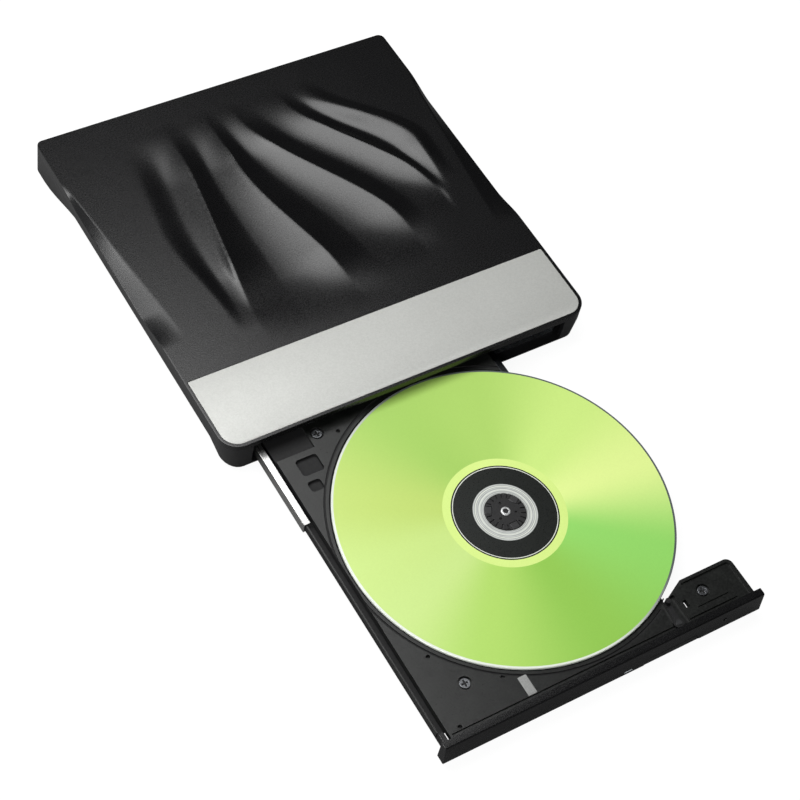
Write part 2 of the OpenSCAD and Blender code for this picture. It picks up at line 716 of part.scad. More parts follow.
module disc_tray() {
    color("#4b4c4e") difference() {
        union() {
            slab(tray_plan, tray_z0, tray_z1);
            block([tray_x0, runner_front, runner_z0], [tray_x0 + skirt_t, tray_y1, tray_z0 + eps]);
            block([runner_x0, runner_front, runner_z0], [tray_x0 + eps, tray_y1, runner_z1]);
            block([tray_right - skirt_t, right_runner_front, runner_z0], [tray_right, tray_y1, tray_z0 + eps]);
            block([tray_right - eps, right_runner_front, runner_z0],
                  [right_web - rail_t - rail_gap, tray_y1, low_runner_z1]);
            block([runner_x0, bezel_y1, runner_z0],
                  [tray_x0 + eps, runner_front + eps, runner_z1 - channel_d]);
            slab(ear_rim, tray_z1 - eps, tray_z1 + ear_rim_h);
            block([tray_x0 + rib_in, rib_y0, tray_z1 - eps], [ear_x - 6, rib_y1, tray_z1 + rib_h]);
            block([ear_x - 21, rib_y1 + 3.2, tray_z1 - eps], [ear_x - 8, rib_y1 + 4, tray_z1 + rib_h]);
        }
        block([runner_x0 + runner_lip, runner_front - 1, runner_z1 - channel_d],
              [tray_x0, tray_y1 + 1, runner_z1 + 1]);
        block([tray_x0 + rib_in, bezel_y1 - 1, tray_z1 - groove_d], [ear_x - 6, rib_y0, tray_z1 + 1]);
        block([tray_x0 + rib_in, rib_y1, tray_z1 - groove_d], [ear_x - 6, rib_y1 + groove_w, tray_z1 + 1]);
        rod([disc_x, disc_y], recess_r, well_z, drive_z1);
        ring([disc_x, disc_y], recess_r + 1.9, recess_r + 1.1, tray_z1 - 0.5, tray_z1 + 0.2);
        rod([disc_x, disc_y], table_r + 0.8, 0, drive_z1);
        on_deck() intersection() {
            block([table_r, -window_half + 0.2, 0], [head_end + 1, window_half - 0.2, well_z + 0.2]);
            rod([0, 0], head_end, -1, drive_z1);
        }
        block([tray_x0 - 1, tray_y1 - notch_d, tray_z1 - 1], [tray_x0 + notch_w, tray_y1 + 1, tray_z1 + 1]);
        for (w = window_at)
            slab(rounded(w[0] - w[2] / 2, w[0] + w[2] / 2, w[1] - w[3] / 2, w[1] + w[3] / 2, 1.3, 1.3),
                 tray_z1 - 1.3, tray_z1 + 1);
        for (p = pinhole_at)
            rod(p, 0.8, tray_z1 - 1.2, tray_z1 + 1);
        for (p = tray_screw_at) {
            rod(p, small_screw_r + 1.7, tray_z1 - 0.9, tray_z1 + 1);
            rod(p, small_screw_r + 0.04, tray_z0 + 0.2, tray_z1);
        }
        on_deck() for (p = damper_at)
            rod(p, small_screw_r + 0.04, tray_z0 - 1, well_z - 0.1);
        translate([slit_at[0], slit_at[1], tray_z0 - 1])
            cube([slit_size[0], slit_size[1], tray_z1 - tray_z0 + 2]);
        block([tray_right - 3, bezel_y1 + 0.5, latch_floor], [tray_right + 3.8, bezel_y1 + 12.4, tray_z1 + 1]);
        rod(latch_at, 1.04, tray_z0 + 0.4, tray_z1);
        on_deck() block([rod_in - 10, screw_c - motor_half - 0.4, 0],
                        [rod_in + 4, screw_c + motor_half + 0.4, well_z - 0.3]);
    }
}

module tray_pad() {
    lo = [pad_at[0], pad_at[1], tray_z1];
    color("#a9aaa8") block(lo, lo + pad_size);
}

module tray_screws() {
    color("#9b9c9e") for (p = tray_screw_at)
        cross_screw(p, small_screw_r + 1.1, tray_z1 - 0.9, tray_z1 - 0.2, small_screw_r, tray_z0 + 0.4);
}

bezel_z0 = drive_z0 + 0.3;
bezel_z1 = drive_z1;
button_x = 26.5;
pinhole_x = 48;
button_z = bezel_z0 + 0.25 + button_h / 2;
button_slant = 1.8;
pipe_x = 8.5;
pipe_w = 3.2;
pipe_z0 = bezel_z0 + 1;
pipe_z1 = pipe_z0 + 1;
flange = 0.8;
hook_w = 1.8;
hook_d = 4.4;
hook_h = 2.4;
hook_gap = 1;

function button_plan(grow_x, grow_z) = [
    [button_x - button_w / 2 - grow_x, button_z - button_h / 2 - grow_z],
    [button_x + button_w / 2 + grow_x, button_z - button_h / 2 - grow_z],
    [button_x + button_w / 2 - button_slant + grow_x, button_z + button_h / 2 + grow_z],
    [button_x - button_w / 2 + button_slant - grow_x, button_z + button_h / 2 + grow_z]
];

module upright(points, y0, y1) {
    translate([0, y1, 0]) rotate([90, 0, 0]) linear_extrude(y1 - y0) polygon(points);
}

module bezel_body() {
    chamfer = 0.4;
    translate([drive_x, 0, 0]) rotate([90, 0, -90]) linear_extrude(drive_w) polygon([
        [-bezel_y1, bezel_z0],
        [-bezel_y0 - chamfer, bezel_z0],
        [-bezel_y0, bezel_z0 + chamfer],
        [-bezel_y0 - bezel_lean, bezel_z1 - chamfer],
        [-bezel_y0 - bezel_lean - chamfer, bezel_z1],
        [-bezel_y1, bezel_z1]
    ]);
}

module tray_bezel() {
    color("#232325") difference() {
        union() {
            bezel_body();
            block([tray_x0 - hook_gap - hook_w, bezel_y1 - eps, tray_z1 - hook_h],
                  [tray_x0 - hook_gap, bezel_y1 + hook_d, tray_z1 - 0.3]);
        }
        upright(button_plan(button_gap, button_gap), bezel_y0 - 1, bezel_y1 + 1);
        block([pipe_x - pipe_w / 2 - 0.05, bezel_y0 - 1, pipe_z0 - 0.05],
              [pipe_x + pipe_w / 2 + 0.05, bezel_y1 + 1, pipe_z1 + 0.05]);
        translate([pinhole_x, bezel_y1 + 1, bezel_z0 + 5]) rotate([90, 0, 0]) cylinder(r = 0.7, h = bezel_t + 2);
    }
}

module eject_button() {
    color("#2b2b2d") {
        upright(button_plan(0, 0), bezel_y0 + bezel_lean * 0.3, bezel_y1 + 0.3);
        upright(button_plan(flange, 0), bezel_y1 + 0.2, bezel_y1 + 1);
    }
}

module light_pipe() {
    color("#dfe6ea") block([pipe_x - pipe_w / 2, bezel_y0 + bezel_lean * 0.3, pipe_z0],
                           [pipe_x + pipe_w / 2, bezel_y1 + 2.6, pipe_z1]);
}

front_y0 = bezel_y1 + 1.8;
front_side = 4;
front_d = 8;

module front_board() {
    color("#1f5a3a") block([pipe_x - front_side, front_y0, board_z0],
                           [tray_right - front_side, front_y0 + front_d, board_z1]);
}

switch_z0 = board_z0 - 2.2;

module eject_switch() {
    color("#b9bbbd") {
        block([button_x - 3, front_y0 + 0.4, switch_z0], [button_x + 3, front_y0 + 3.4, board_z0]);
        translate([button_x, front_y0 + 0.5, button_z]) rotate([90, 0, 0])
            cylinder(r = 0.5, h = front_y0 + 0.5 - (bezel_y1 + 1 + button_travel + 0.1));
    }
}

module status_led() {
    color("#f2f2e6") block([pipe_x - 0.8, bezel_y1 + 2.6, pipe_z0], [pipe_x + 0.8, bezel_y1 + 4.2, board_z0]);
}

// Tray latch

module latch_pivot() {
    color("#c8cacc") rod(latch_at, 1, tray_z0 + 0.4, tray_z1 + 0.1);
}

module latch_lever() {
    color("#1e1e20") difference() {
        union() {
            rod(latch_at, 2, latch_floor + 0.1, tray_z1 - 0.2);
            translate([latch_at[0], latch_at[1], latch_floor + 0.1]) rotate([0, 0, lever_turn])
                translate([0, -1, 0]) cube([lever_l, 2, tray_z1 - 0.3 - latch_floor]);
            rod(nub_at, nub_r, latch_floor + 0.1, disc_z1 + 1);
        }
        rod(latch_at, 1.05, 0, drive_z1);
    }
}

module latch_solenoid() {
    color("#7a4a32") {
        block([ear_x - 20, bezel_y1 + 3, pan_z + 0.4], [ear_x - 6, bezel_y1 + 12, tray_z0]);
        translate([ear_x - 20.9, bezel_y1 + 7.5, (pan_z + 0.4 + tray_z0) / 2]) rotate([0, 90, 0])
            cylinder(r = 0.9, h = 1);
    }
}

// Disc deck under the tray: everything is drawn along the pickup's travel

deck_plan = [
    [-deck_back, -deck_half], [deck_end - 8, -deck_half], [deck_end, -deck_half + 4], [deck_end, deck_half - 2],
    [deck_end - 2, deck_half], [-deck_back, deck_half]
];

module rod_hangers(r0, r1) {
    for (c = [-rod_c, rod_c])
        block([r0, c - 1.5, sled_z0 + 0.2], [r1, c + 1.5, deck_z0 + eps]);
}

module deck_plate() {
    color("#8f9396") on_deck() difference() {
        union() {
            slab(deck_plan, deck_z0, deck_z1);
            rod_hangers(rod_in, rod_in + hanger);
            rod_hangers(deck_end - hanger, deck_end);
            block([deck_end - hanger, screw_c - 1.6, sled_z0 + 0.2], [deck_end, screw_c + 1.6, deck_z0 + eps]);
        }
        rod([0, 0], rotor_r + 0.8, 0, drive_z1);
        block([lens_in - sled_half - 1, -window_half, deck_z0 - eps], [head_end + 0.2, window_half, drive_z1]);
        block([rod_in - 8, screw_c - motor_half - slack, deck_z0 - 1],
              [rod_in + 3.4, screw_c + motor_half + slack, drive_z1]);
        for (c = [-rod_c, rod_c])
            translate([0, c, rod_z]) rotate([0, 90, 0]) cylinder(r = rod_r + 0.02, h = 2 * deck_end);
        translate([0, screw_c, rod_z]) rotate([0, 90, 0]) cylinder(r = screw_r * 0.6 + 0.05, h = 2 * deck_end);
        for (p = damper_at)
            rod(p, 1.7, deck_z0 - 1, deck_z1 + 1);
    }
}

module deck_dampers() {
    color("#28282a") on_deck() for (p = damper_at) difference() {
        union() {
            rod(p, 1.65, deck_z0, tray_z0);
            rod(p, damper_r, deck_z0 - 0.6, deck_z0);
        }
        rod(p, small_screw_r + 0.1, 0, drive_z1);
    }
}

module deck_screws() {
    color("#8b8d90") on_deck() for (p = damper_at)
        cross_screw(p, damper_r - 0.3, deck_z0 - 1.2, deck_z0 - 0.6, small_screw_r, well_z - 0.2);
}

motor_z0 = pan_z + slack;
motor_z1 = motor_z0 + 0.6;
coil_r = rotor_r - 1.4;
coil_hole_r = 4;
post_turn = [180, 60, 300];

module spindle_motor() {
    color("#9a9ea2") translate([disc_x, disc_y, 0]) rotate([0, 0, deck_turn]) {
        difference() {
            union() {
                rod([0, 0], rotor_r + 0.8, motor_z0, motor_z1);
                rod([0, 0], 2.4, motor_z0, well_z - 1);
                ring([0, 0], coil_r, coil_hole_r, motor_z1 - eps, deck_z0 + 0.3);
            }
            rod([0, 0], shaft_r + shaft_gap, motor_z0 + 0.3, drive_z1);
        }
        for (a = post_turn) rotate([0, 0, a]) {
            block([rotor_r, -1.2, motor_z0], [rotor_r + 3.2, 1.2, motor_z1]);
            rod([rotor_r + 2, 0], 1.1, motor_z1 - eps, deck_z0);
        }
    }
}

claw_turn = [30, 150, 270];
claw_w = 3;
claw_gap = 0.1;
slot_turn = [for (a = [90, 210, 330], d = [-36, -18, 0, 18, 36]) a + d];
slot_size = [1.9, 0.5, 0.4];
dimple_out = 3.6;
dimple_r = 0.5;
hub_z1 = disc_z1 + 0.5;

module spindle_hub() {
    color("#202022") translate([disc_x, disc_y, 0]) difference() {
        union() {
            rod([0, 0], table_r, disc_z0 - 0.7, disc_z0);
            rod([0, 0], hub_r, disc_z0 - 0.1, hub_z1);
            difference() {
                rod([0, 0], rotor_r, motor_z1 + 0.5, disc_z0 - 0.6);
                rod([0, 0], rotor_r - 0.8, 0, disc_z0 - 1.2);
            }
            rod([0, 0], shaft_r, motor_z0 + 0.5, disc_z1 + 0.8);
        }
        for (a = claw_turn) rotate([0, 0, a])
            block([hub_r - 2.6, -claw_w / 2 - claw_gap, disc_z0 + 0.1],
                [hub_r + 1, claw_w / 2 + claw_gap, drive_z1]);
        for (a = slot_turn) rotate([0, 0, a])
            block([hub_r - slot_size[0], -slot_size[1] / 2, hub_z1 - slot_size[2]],
                [hub_r + 1, slot_size[1] / 2, drive_z1]);
        for (a = claw_turn) rotate([0, 0, a + 60])
            rod([dimple_out, 0], dimple_r, hub_z1 - slot_size[2], drive_z1);
    }
}

module hub_claws() {
    color("#39393b") translate([disc_x, disc_y, 0]) for (a = claw_turn) rotate([0, 0, a]) intersection() {
        block([hub_r - 2.5, -claw_w / 2, disc_z0 + 0.1], [hub_r + 0.1, claw_w / 2, disc_z1 + 0.45]);
        rod([0, 0], hub_r + 0.1, 0, drive_z1);
    }
}

module disc() {
    chamfer = 0.15;
    r = disc_d / 2;
    color("#a9d65a") translate([disc_x, disc_y, disc_z0]) rotate_extrude($fn = 96) polygon([
        [disc_hole / 2, 0], [r - chamfer, 0], [r, chamfer],
        [r, disc_t - chamfer], [r - chamfer, disc_t], [disc_hole / 2, disc_t]
    ]);
}

module guide_rods() {
    color("#d0d2d4") on_deck() for (c = [-rod_c, rod_c])
        translate([rod_in + 0.2, c, rod_z]) rotate([0, 90, 0])
            cylinder(r = rod_r, h = deck_end - rod_in - 0.4);
}

thread_pitch = 3;
thread_l = deck_end - hanger - rod_in - hanger - 2.4;
thread_n = floor(thread_l / thread_pitch);

// Turned profile of the lead screw: grooves along the thread, plain ends
module lead_screw() {
    x0 = rod_in + hanger + 1.4;
    r_in = screw_r * 0.6;
    groove = concat(
        [[0, -1.2], [r_in, -1.2], [r_in, 0]],
        [for (i = [0:thread_n - 1]) each [
            [screw_r, (i + 0.05) * thread_pitch], [screw_r, (i + 0.55) * thread_pitch],
            [r_in + 0.1, (i + 0.65) * thread_pitch], [r_in + 0.1, (i + 0.9) * thread_pitch]]],
        [[r_in, thread_n * thread_pitch], [r_in, deck_end - x0 - 0.4], [0, deck_end - x0 - 0.4]]
    );
    color("#b8babc") on_deck() translate([x0, screw_c, rod_z]) rotate([0, 90, 0])
        rotate_extrude($fn = 24) polygon(groove);
}

module sled_motor() {
    x1 = rod_in + hanger;
    color("#6d7073") on_deck() difference() {
        block([x1 - 10, screw_c - motor_half, motor_z0], [x1 + 0.6, screw_c + motor_half, deck_z1 + 0.2]);
        translate([x1 - 1, screw_c, rod_z]) rotate([0, 90, 0]) cylinder(r = screw_r * 0.6 + 0.05, h = 4);
    }
}

module pickup_sled() {
    color("#3f4245") on_deck() difference() {
        union() {
            block([lens_in - sled_half, -rod_c - 2.1, sled_z0], [lens_in + sled_half, rod_c + 1.4, sled_z1]);
            block([lens_in - 3, rod_c + 1.3, sled_z0], [lens_in + 3, screw_c + 1.6, sled_z1]);
            intersection() {
                block([lens_in - sled_half + 0.5, -window_half + 1, sled_z1 - eps],
                      [lens_in + sled_half, window_half - 1, well_z - 0.4]);
                rod([lens_in - lens_out, 0], head_end - 0.4, 0, drive_z1);
            }
        }
        for (c = [-rod_c, rod_c])
            translate([0, c, rod_z]) rotate([0, 90, 0]) cylinder(r = rod_r + rod_gap, h = 2 * deck_end);
        translate([0, screw_c, rod_z]) rotate([0, 90, 0]) cylinder(r = screw_r + 0.06, h = 2 * deck_end);
        rod([lens_in, 0], 2.3, well_z - 1.2, drive_z1);
    }
}

module objective_lens() {
    color("#8fb6d8") on_deck() rod([lens_in, 0], 2.25, well_z - 1.2, well_z);
}

// Electronics

main_y0 = disc_y + disc_d / 4;
chip_h = 1.1;
chip_at = [[-40, 6, 14], [-20, 8, 10], [14, 6, 12]];
plug_d = 3.6;
main_y1 = tray_y1 - 3;
flex_x0 = -6;
flex_w = 12;
flex_t = 0.25;
ribbon_z = pan_z + 0.2;

module tray_board() {
    color("#1f5a3a") block([tray_x0 + skirt_t + 6, main_y0, board_z0],
        [tray_right - skirt_t - 2, main_y1, board_z1]);
}

module board_chips() {
    color("#19191b") {
        for (p = chip_at)
            block([p[0], main_y0 + p[1], board_z0 - chip_h], [p[0] + p[2], main_y0 + p[1] + p[2], board_z0]);
        block([flex_x0 - 1, main_y1 - 4, board_z0 - chip_h], [flex_x0 + flex_w + 1, main_y1 - 0.2, board_z0]);
    }
}

plug_y0 = drive_y1 - sheet_t - 0.7;
rear_z1 = pan_z + 0.6;
ribbon_run = [
    [main_y1 - 0.2, board_z0 - 0.7], [main_y1 + 4, board_z0 - 0.9], [main_y1 + 9, ribbon_z + 0.6],
    [main_y1 + 13, ribbon_z], [rear_y0 - 3, ribbon_z], [rear_y0 - 1, rear_z1 + 0.1], [rear_y0 + 1, rear_z1 + 0.15]
];

module flex_cable() {
    color("#e6e2d6") translate([flex_x0, 0, 0]) rotate([90, 0, 90]) linear_extrude(flex_w) polygon(concat(
        ribbon_run,
        [for (i = [len(ribbon_run) - 1:-1:0]) ribbon_run[i] + [0, flex_t]]
    ));
}

module rear_board() {
    color("#1f5a3a") {
        block([flex_x0 - 2, rear_y0, pan_z], [plug_x1, plug_y0, rear_z1]);
        block([flex_x0 - 1, rear_y0 + 1, rear_z1 - eps], [flex_x0 + flex_w + 1, rear_y0 + plug_d, rear_z1 + 0.6]);
    }
}

plug_y1 = bridge_y0 - 1.2;
socket_d = 4;
bridge_chip = 7;
bridge_chip_x = [plug_x0 - 22, plug_x0 - 12];

module drive_connector() {
    color("#161617") block([plug_x0, plug_y0, pan_z + 0.2], [plug_x1, plug_y1, plug_z1]);
}

module bridge_board() {
    color("#1f5a3a") block([bridge_x0, bridge_y0, bridge_z0], [bridge_x1, bridge_y1, bridge_z1]);
}

module bridge_socket() {
    color("#161617") block([plug_x0, plug_y1, bridge_z1], [plug_x1, bridge_y0 + socket_d, plug_z1]);
}

module bridge_chips() {
    color("#19191b") for (x = bridge_chip_x)
        block([x, bridge_y0 + 2, bridge_z1], [x + bridge_chip, bridge_y0 + 2 + bridge_chip, bridge_z1 + chip_h]);
}

module usb_socket() {
    shell_t = 0.3;
    lo = [usb_x - usb_w / 2, case_y1 - usb_d, bridge_z1];
    hi = [usb_x + usb_w / 2, case_y1 - 0.2, bridge_z1 + usb_h];
    mid = (lo + hi) / 2;
    color("#c0c2c4") {
        difference() {
            block(lo, hi);
            block(lo + [shell_t, 1, shell_t], hi + [-shell_t, 1, -shell_t]);
        }
        block([lo[0] + 1.2, lo[1] + 0.5, mid[2] - 0.35], [hi[0] - 1.2, hi[1] - 1, mid[2] + 0.35]);
    }
}

top_cover();
trim_panel();
base_shell();
rubber_feet();
case_screws();
drive_screws();
chassis_lower();
chassis_upper();
cover_screws();
left_guide();
right_guide();
left_slide_rail();
right_slide_rail();
disc_tray();
tray_bezel();
eject_button();
light_pipe();
front_board();
eject_switch();
status_led();
tray_screws();
latch_pivot();
latch_lever();
latch_solenoid();
deck_plate();
deck_dampers();
deck_screws();
spindle_motor();
spindle_hub();
hub_claws();
disc();
guide_rods();
lead_screw();
sled_motor();
pickup_sled();
objective_lens();
tray_board();
board_chips();
flex_cable();
rear_board();
drive_connector();
bridge_board();
bridge_socket();
bridge_chips();
usb_socket();
tray_pad();
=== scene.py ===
# %% [markdown]
# # A slim external disc drive with its tray out
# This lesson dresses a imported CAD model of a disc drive. The solids already have their right places and
# joints, so each piece made here sits in the same frame, in metres, and rides on a body of that model. The
# real drive is mostly dark moulded plastic, so fine grain, soft edges and good light matter more than
# colour.

# %% Load the frame
import json
import math
from collections import namedtuple

import bmesh
import bpy
from mathutils import Matrix, Vector


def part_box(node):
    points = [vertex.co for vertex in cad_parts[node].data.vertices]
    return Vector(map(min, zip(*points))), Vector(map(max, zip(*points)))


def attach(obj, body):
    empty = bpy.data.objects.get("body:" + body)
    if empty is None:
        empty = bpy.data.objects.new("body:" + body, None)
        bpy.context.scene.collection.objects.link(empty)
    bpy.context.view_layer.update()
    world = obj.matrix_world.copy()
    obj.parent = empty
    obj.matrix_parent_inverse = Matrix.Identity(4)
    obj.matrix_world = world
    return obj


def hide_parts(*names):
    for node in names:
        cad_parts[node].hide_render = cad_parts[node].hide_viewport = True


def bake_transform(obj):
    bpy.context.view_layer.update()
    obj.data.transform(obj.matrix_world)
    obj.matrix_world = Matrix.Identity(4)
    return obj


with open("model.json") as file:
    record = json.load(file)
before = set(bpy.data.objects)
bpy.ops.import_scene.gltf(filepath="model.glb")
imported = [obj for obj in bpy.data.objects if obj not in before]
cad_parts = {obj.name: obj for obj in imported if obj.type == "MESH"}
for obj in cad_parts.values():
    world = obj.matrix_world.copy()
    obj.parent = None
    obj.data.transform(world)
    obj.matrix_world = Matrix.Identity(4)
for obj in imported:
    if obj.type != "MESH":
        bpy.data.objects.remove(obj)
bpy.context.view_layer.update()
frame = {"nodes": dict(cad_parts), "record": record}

MM = 0.001

# %% [markdown]
# ## Camera
# The camera was worked out from the disc, which is round and 120 mm across in reality. A camera is three
# directions and a place: its right, its up and the way it looks back. Together they make one matrix.

# %% Camera
CAMERA_AT = Vector((-289.241, -328.375, 578.547)) * MM
CAMERA_RIGHT = Vector((0.851171, -0.504675, 0.144258))
CAMERA_DOWN = Vector((-0.341848, -0.741558, -0.577263))
CAMERA_FORWARD = Vector((0.398305, 0.442035, -0.803715))
FIELD_OF_VIEW = 22.5024
CLIP_START = 0.01

camera = bpy.data.objects.new("camera", bpy.data.cameras.new("camera"))
bpy.context.scene.collection.objects.link(camera)
turn = Matrix((CAMERA_RIGHT, -CAMERA_DOWN, -CAMERA_FORWARD)).transposed().to_4x4()
camera.matrix_world = Matrix.Translation(CAMERA_AT) @ turn
camera.data.sensor_fit = "AUTO"
camera.data.angle = math.radians(FIELD_OF_VIEW)
camera.data.clip_start = CLIP_START
bpy.context.scene.camera = camera
bpy.context.scene.view_settings.view_transform = "Standard"
print("camera at", [round(v, 4) for v in CAMERA_AT])

# %% [markdown]
# ## Colours and shader nodes
# Colours are written as the sRGB hex values that a painter would pick, and one function turns them to the
# linear values that shaders use. One small function adds a shader node with its settings and links, so a
# material reads as a recipe. Inputs go by name or by number. On a Mix node 0 is the share, 2 and 3 are
# numbers and 6 and 7 are colours. On a Map Range node 0 is the value, 1 and 2 are the ends it comes from
# and 3 and 4 those it goes to.


# %% Colour and node helpers
def linear(hex_colour):
    parts = [int(hex_colour[i:i + 2], 16) / 255 for i in (1, 3, 5)]
    return [p / 12.92 if p <= 0.04045 else ((p + 0.055) / 1.055) ** 2.4 for p in parts] + [1.0]


def connect(tree, node, inputs):
    """Link or set the inputs of a node."""
    for name, value in inputs.items():
        if isinstance(value, bpy.types.NodeSocket):
            tree.links.new(value, node.inputs[name])
        else:
            node.inputs[name].default_value = value


def add(tree, kind, inputs=None, **settings):
    made = tree.nodes.new(kind)
    for name, value in settings.items():
        setattr(made, name, value)
    connect(tree, made, inputs or {})
    return made


def blank_material(name):
    made = bpy.data.materials.new(name)
    made.use_nodes = True
    tree = made.node_tree
    tree.nodes.clear()
    shader = add(tree, "ShaderNodeBsdfPrincipled")
    add(tree, "ShaderNodeOutputMaterial", {"Surface": shader.outputs[0]})
    where = add(tree, "ShaderNodeTexCoord").outputs["Object"]
    return made, tree, shader, where


def per_mm(size_mm):
    """The texture scale at which a feature is this many millimetres wide."""
    return 1000 / size_mm


# A noise seldom leaves the middle of 0 to 1, so these are the ends that show
NOISE_LOW, NOISE_HIGH = 0.3, 0.7
# One wave of a Wave texture is this wide at a scale of 1
WAVE_WIDTH = 0.314

# %% [markdown]
# ## Light and floor
# The photograph was taken on white under large soft lights. On black plastic it is the reflection of a
# light that draws the folds, so two softboxes hang where the folds mirror them: one behind the drive and a
# brighter one to its left. A small one hangs where the panel, the tray and the rail mirror it, and one low
# at the front left fills the sides. The floor shows white to the camera, keeps a faint shadow and mirrors
# brighter at the left, where the light comes from.


# %% Softboxes
def softbox(name, at, look_at, size, watts):
    lamp = bpy.data.lights.new(name, "AREA")
    lamp.shape = "RECTANGLE"
    lamp.size, lamp.size_y = size
    lamp.energy = watts
    holder = bpy.data.objects.new(name, lamp)
    bpy.context.scene.collection.objects.link(holder)
    aim = (Vector(look_at) - Vector(at)).to_track_quat("-Z", "Y")
    holder.matrix_world = Matrix.Translation(at) @ aim.to_matrix().to_4x4()
    print(name, watts, "W")


# Places and sizes in metres
CEILING = 0.80
HANGING = (("key_softbox", (-0.09, 0.26), (0.52, 0.52), 4.3),
           ("left_softbox", (-0.46, 0.33), (0.26, 0.55), 3.6),
           ("back_softbox", (0.17, 0.42), (0.20, 0.26), 0.60))
for name, over, size, watts in HANGING:
    softbox(name, (*over, CEILING), (*over, 0.0), size, watts)
softbox("front_fill", (-0.75, -0.55, 0.60), (0.0, -0.05, 0.0), (0.60, 0.45), 5.0)

# %% World
WORLD_LEFT, WORLD_RIGHT = 0.40, 0.04

world = bpy.data.worlds.new("studio")
bpy.context.scene.world = world
world.use_nodes = True
tree = world.node_tree
tree.nodes.clear()
seen = add(tree, "ShaderNodeLightPath")
way = add(tree, "ShaderNodeSeparateXYZ", {0: add(tree, "ShaderNodeTexCoord").outputs["Generated"]})
level = add(tree, "ShaderNodeMapRange", {0: way.outputs["X"], 1: -0.5, 2: 0.5, 3: WORLD_LEFT, 4: WORLD_RIGHT},
            interpolation_type="SMOOTHSTEP")
ambient = add(tree, "ShaderNodeBackground", {"Color": linear("#f4f5f6"), "Strength": level.outputs[0]})
backdrop = add(tree, "ShaderNodeBackground", {"Color": linear("#ffffff"), "Strength": 1.0})
mix = add(tree, "ShaderNodeMixShader",
          {0: seen.outputs["Is Camera Ray"], 1: ambient.outputs[0], 2: backdrop.outputs[0]})
add(tree, "ShaderNodeOutputWorld", {"Surface": mix.outputs[0]})
print("world from", WORLD_LEFT, "at the left to", WORLD_RIGHT, "at the right")

# %% Floor
FLOOR_HALF = 3.0
# The share of the floor that shades, its level to the camera, and its levels in mirrors at the left and right
FLOOR_SHADE, FLOOR_SEEN, MIRRORED_LEFT, MIRRORED_RIGHT = 0.12, 1.06, 0.60, 0.04
LEFT_ENDS, RIGHT_STARTS = -0.11, -0.07

bm = bmesh.new()
bmesh.ops.create_grid(bm, x_segments=1, y_segments=1, size=FLOOR_HALF)
floor_mesh = bpy.data.meshes.new("floor")
bm.to_mesh(floor_mesh)
bm.free()
floor = bpy.data.objects.new("floor", floor_mesh)
bpy.context.scene.collection.objects.link(floor)

floor_white = bpy.data.materials.new("seamless_white_paper")
floor_white.use_nodes = True
tree = floor_white.node_tree
tree.nodes.clear()
seen = add(tree, "ShaderNodeLightPath")
seen_any = seen.outputs["Is Camera Ray"]
for ray in ("Is Glossy Ray", "Is Transmission Ray"):
    either = add(tree, "ShaderNodeMath", {0: seen_any, 1: seen.outputs[ray]}, operation="MAXIMUM")
    seen_any = either.outputs[0]
share = add(tree, "ShaderNodeMath", {0: seen_any, 1: 1 - FLOOR_SHADE}, operation="MULTIPLY")
paper = add(tree, "ShaderNodeBsdfDiffuse", {"Color": linear("#f2f2f2")})
spot = add(tree, "ShaderNodeSeparateXYZ", {0: add(tree, "ShaderNodeTexCoord").outputs["Object"]})
mirrored = add(tree, "ShaderNodeMapRange",
               {0: spot.outputs["X"], 1: LEFT_ENDS, 2: RIGHT_STARTS, 3: MIRRORED_LEFT, 4: MIRRORED_RIGHT})
strength = add(tree, "ShaderNodeMapRange",
               {0: seen.outputs["Is Glossy Ray"], 3: FLOOR_SEEN, 4: mirrored.outputs[0]})
white = add(tree, "ShaderNodeEmission", {"Color": linear("#ffffff"), "Strength": strength.outputs[0]})
mix = add(tree, "ShaderNodeMixShader", {0: share.outputs[0], 1: paper.outputs[0], 2: white.outputs[0]})
add(tree, "ShaderNodeOutputMaterial", {"Surface": mix.outputs[0]})
floor.data.materials.append(floor_white)

# %% [markdown]
# ## Moulded plastics
# Nearly every dark piece is ABS or a relative of it, moulded in a steel tool. A spark-eroded tool leaves a
# grain of fine bumps that scatters the highlight, and a polished tool leaves it sharp. One recipe with a
# grain size, a grain depth and a roughness covers them all. The real grain of 0.2 mm is too fine to show,
# so it is drawn a little coarser.

# %% Recipe for a moulded plastic
PLASTIC_IOR, BLOTCH_SHARE, GRAIN_STRENGTH = 1.53, 0.4, 0.6
# The ends of the grain, and the nearer ones of grain and blotches mixed
GRAIN_LOW, GRAIN_HIGH = 0.25, 0.75
MIXED_LOW, MIXED_HIGH = 0.36, 0.64
# How much smoother the low grain is than the roughness given, and how much rougher the high grain
SMOOTHER, ROUGHER = 0.05, 0.06


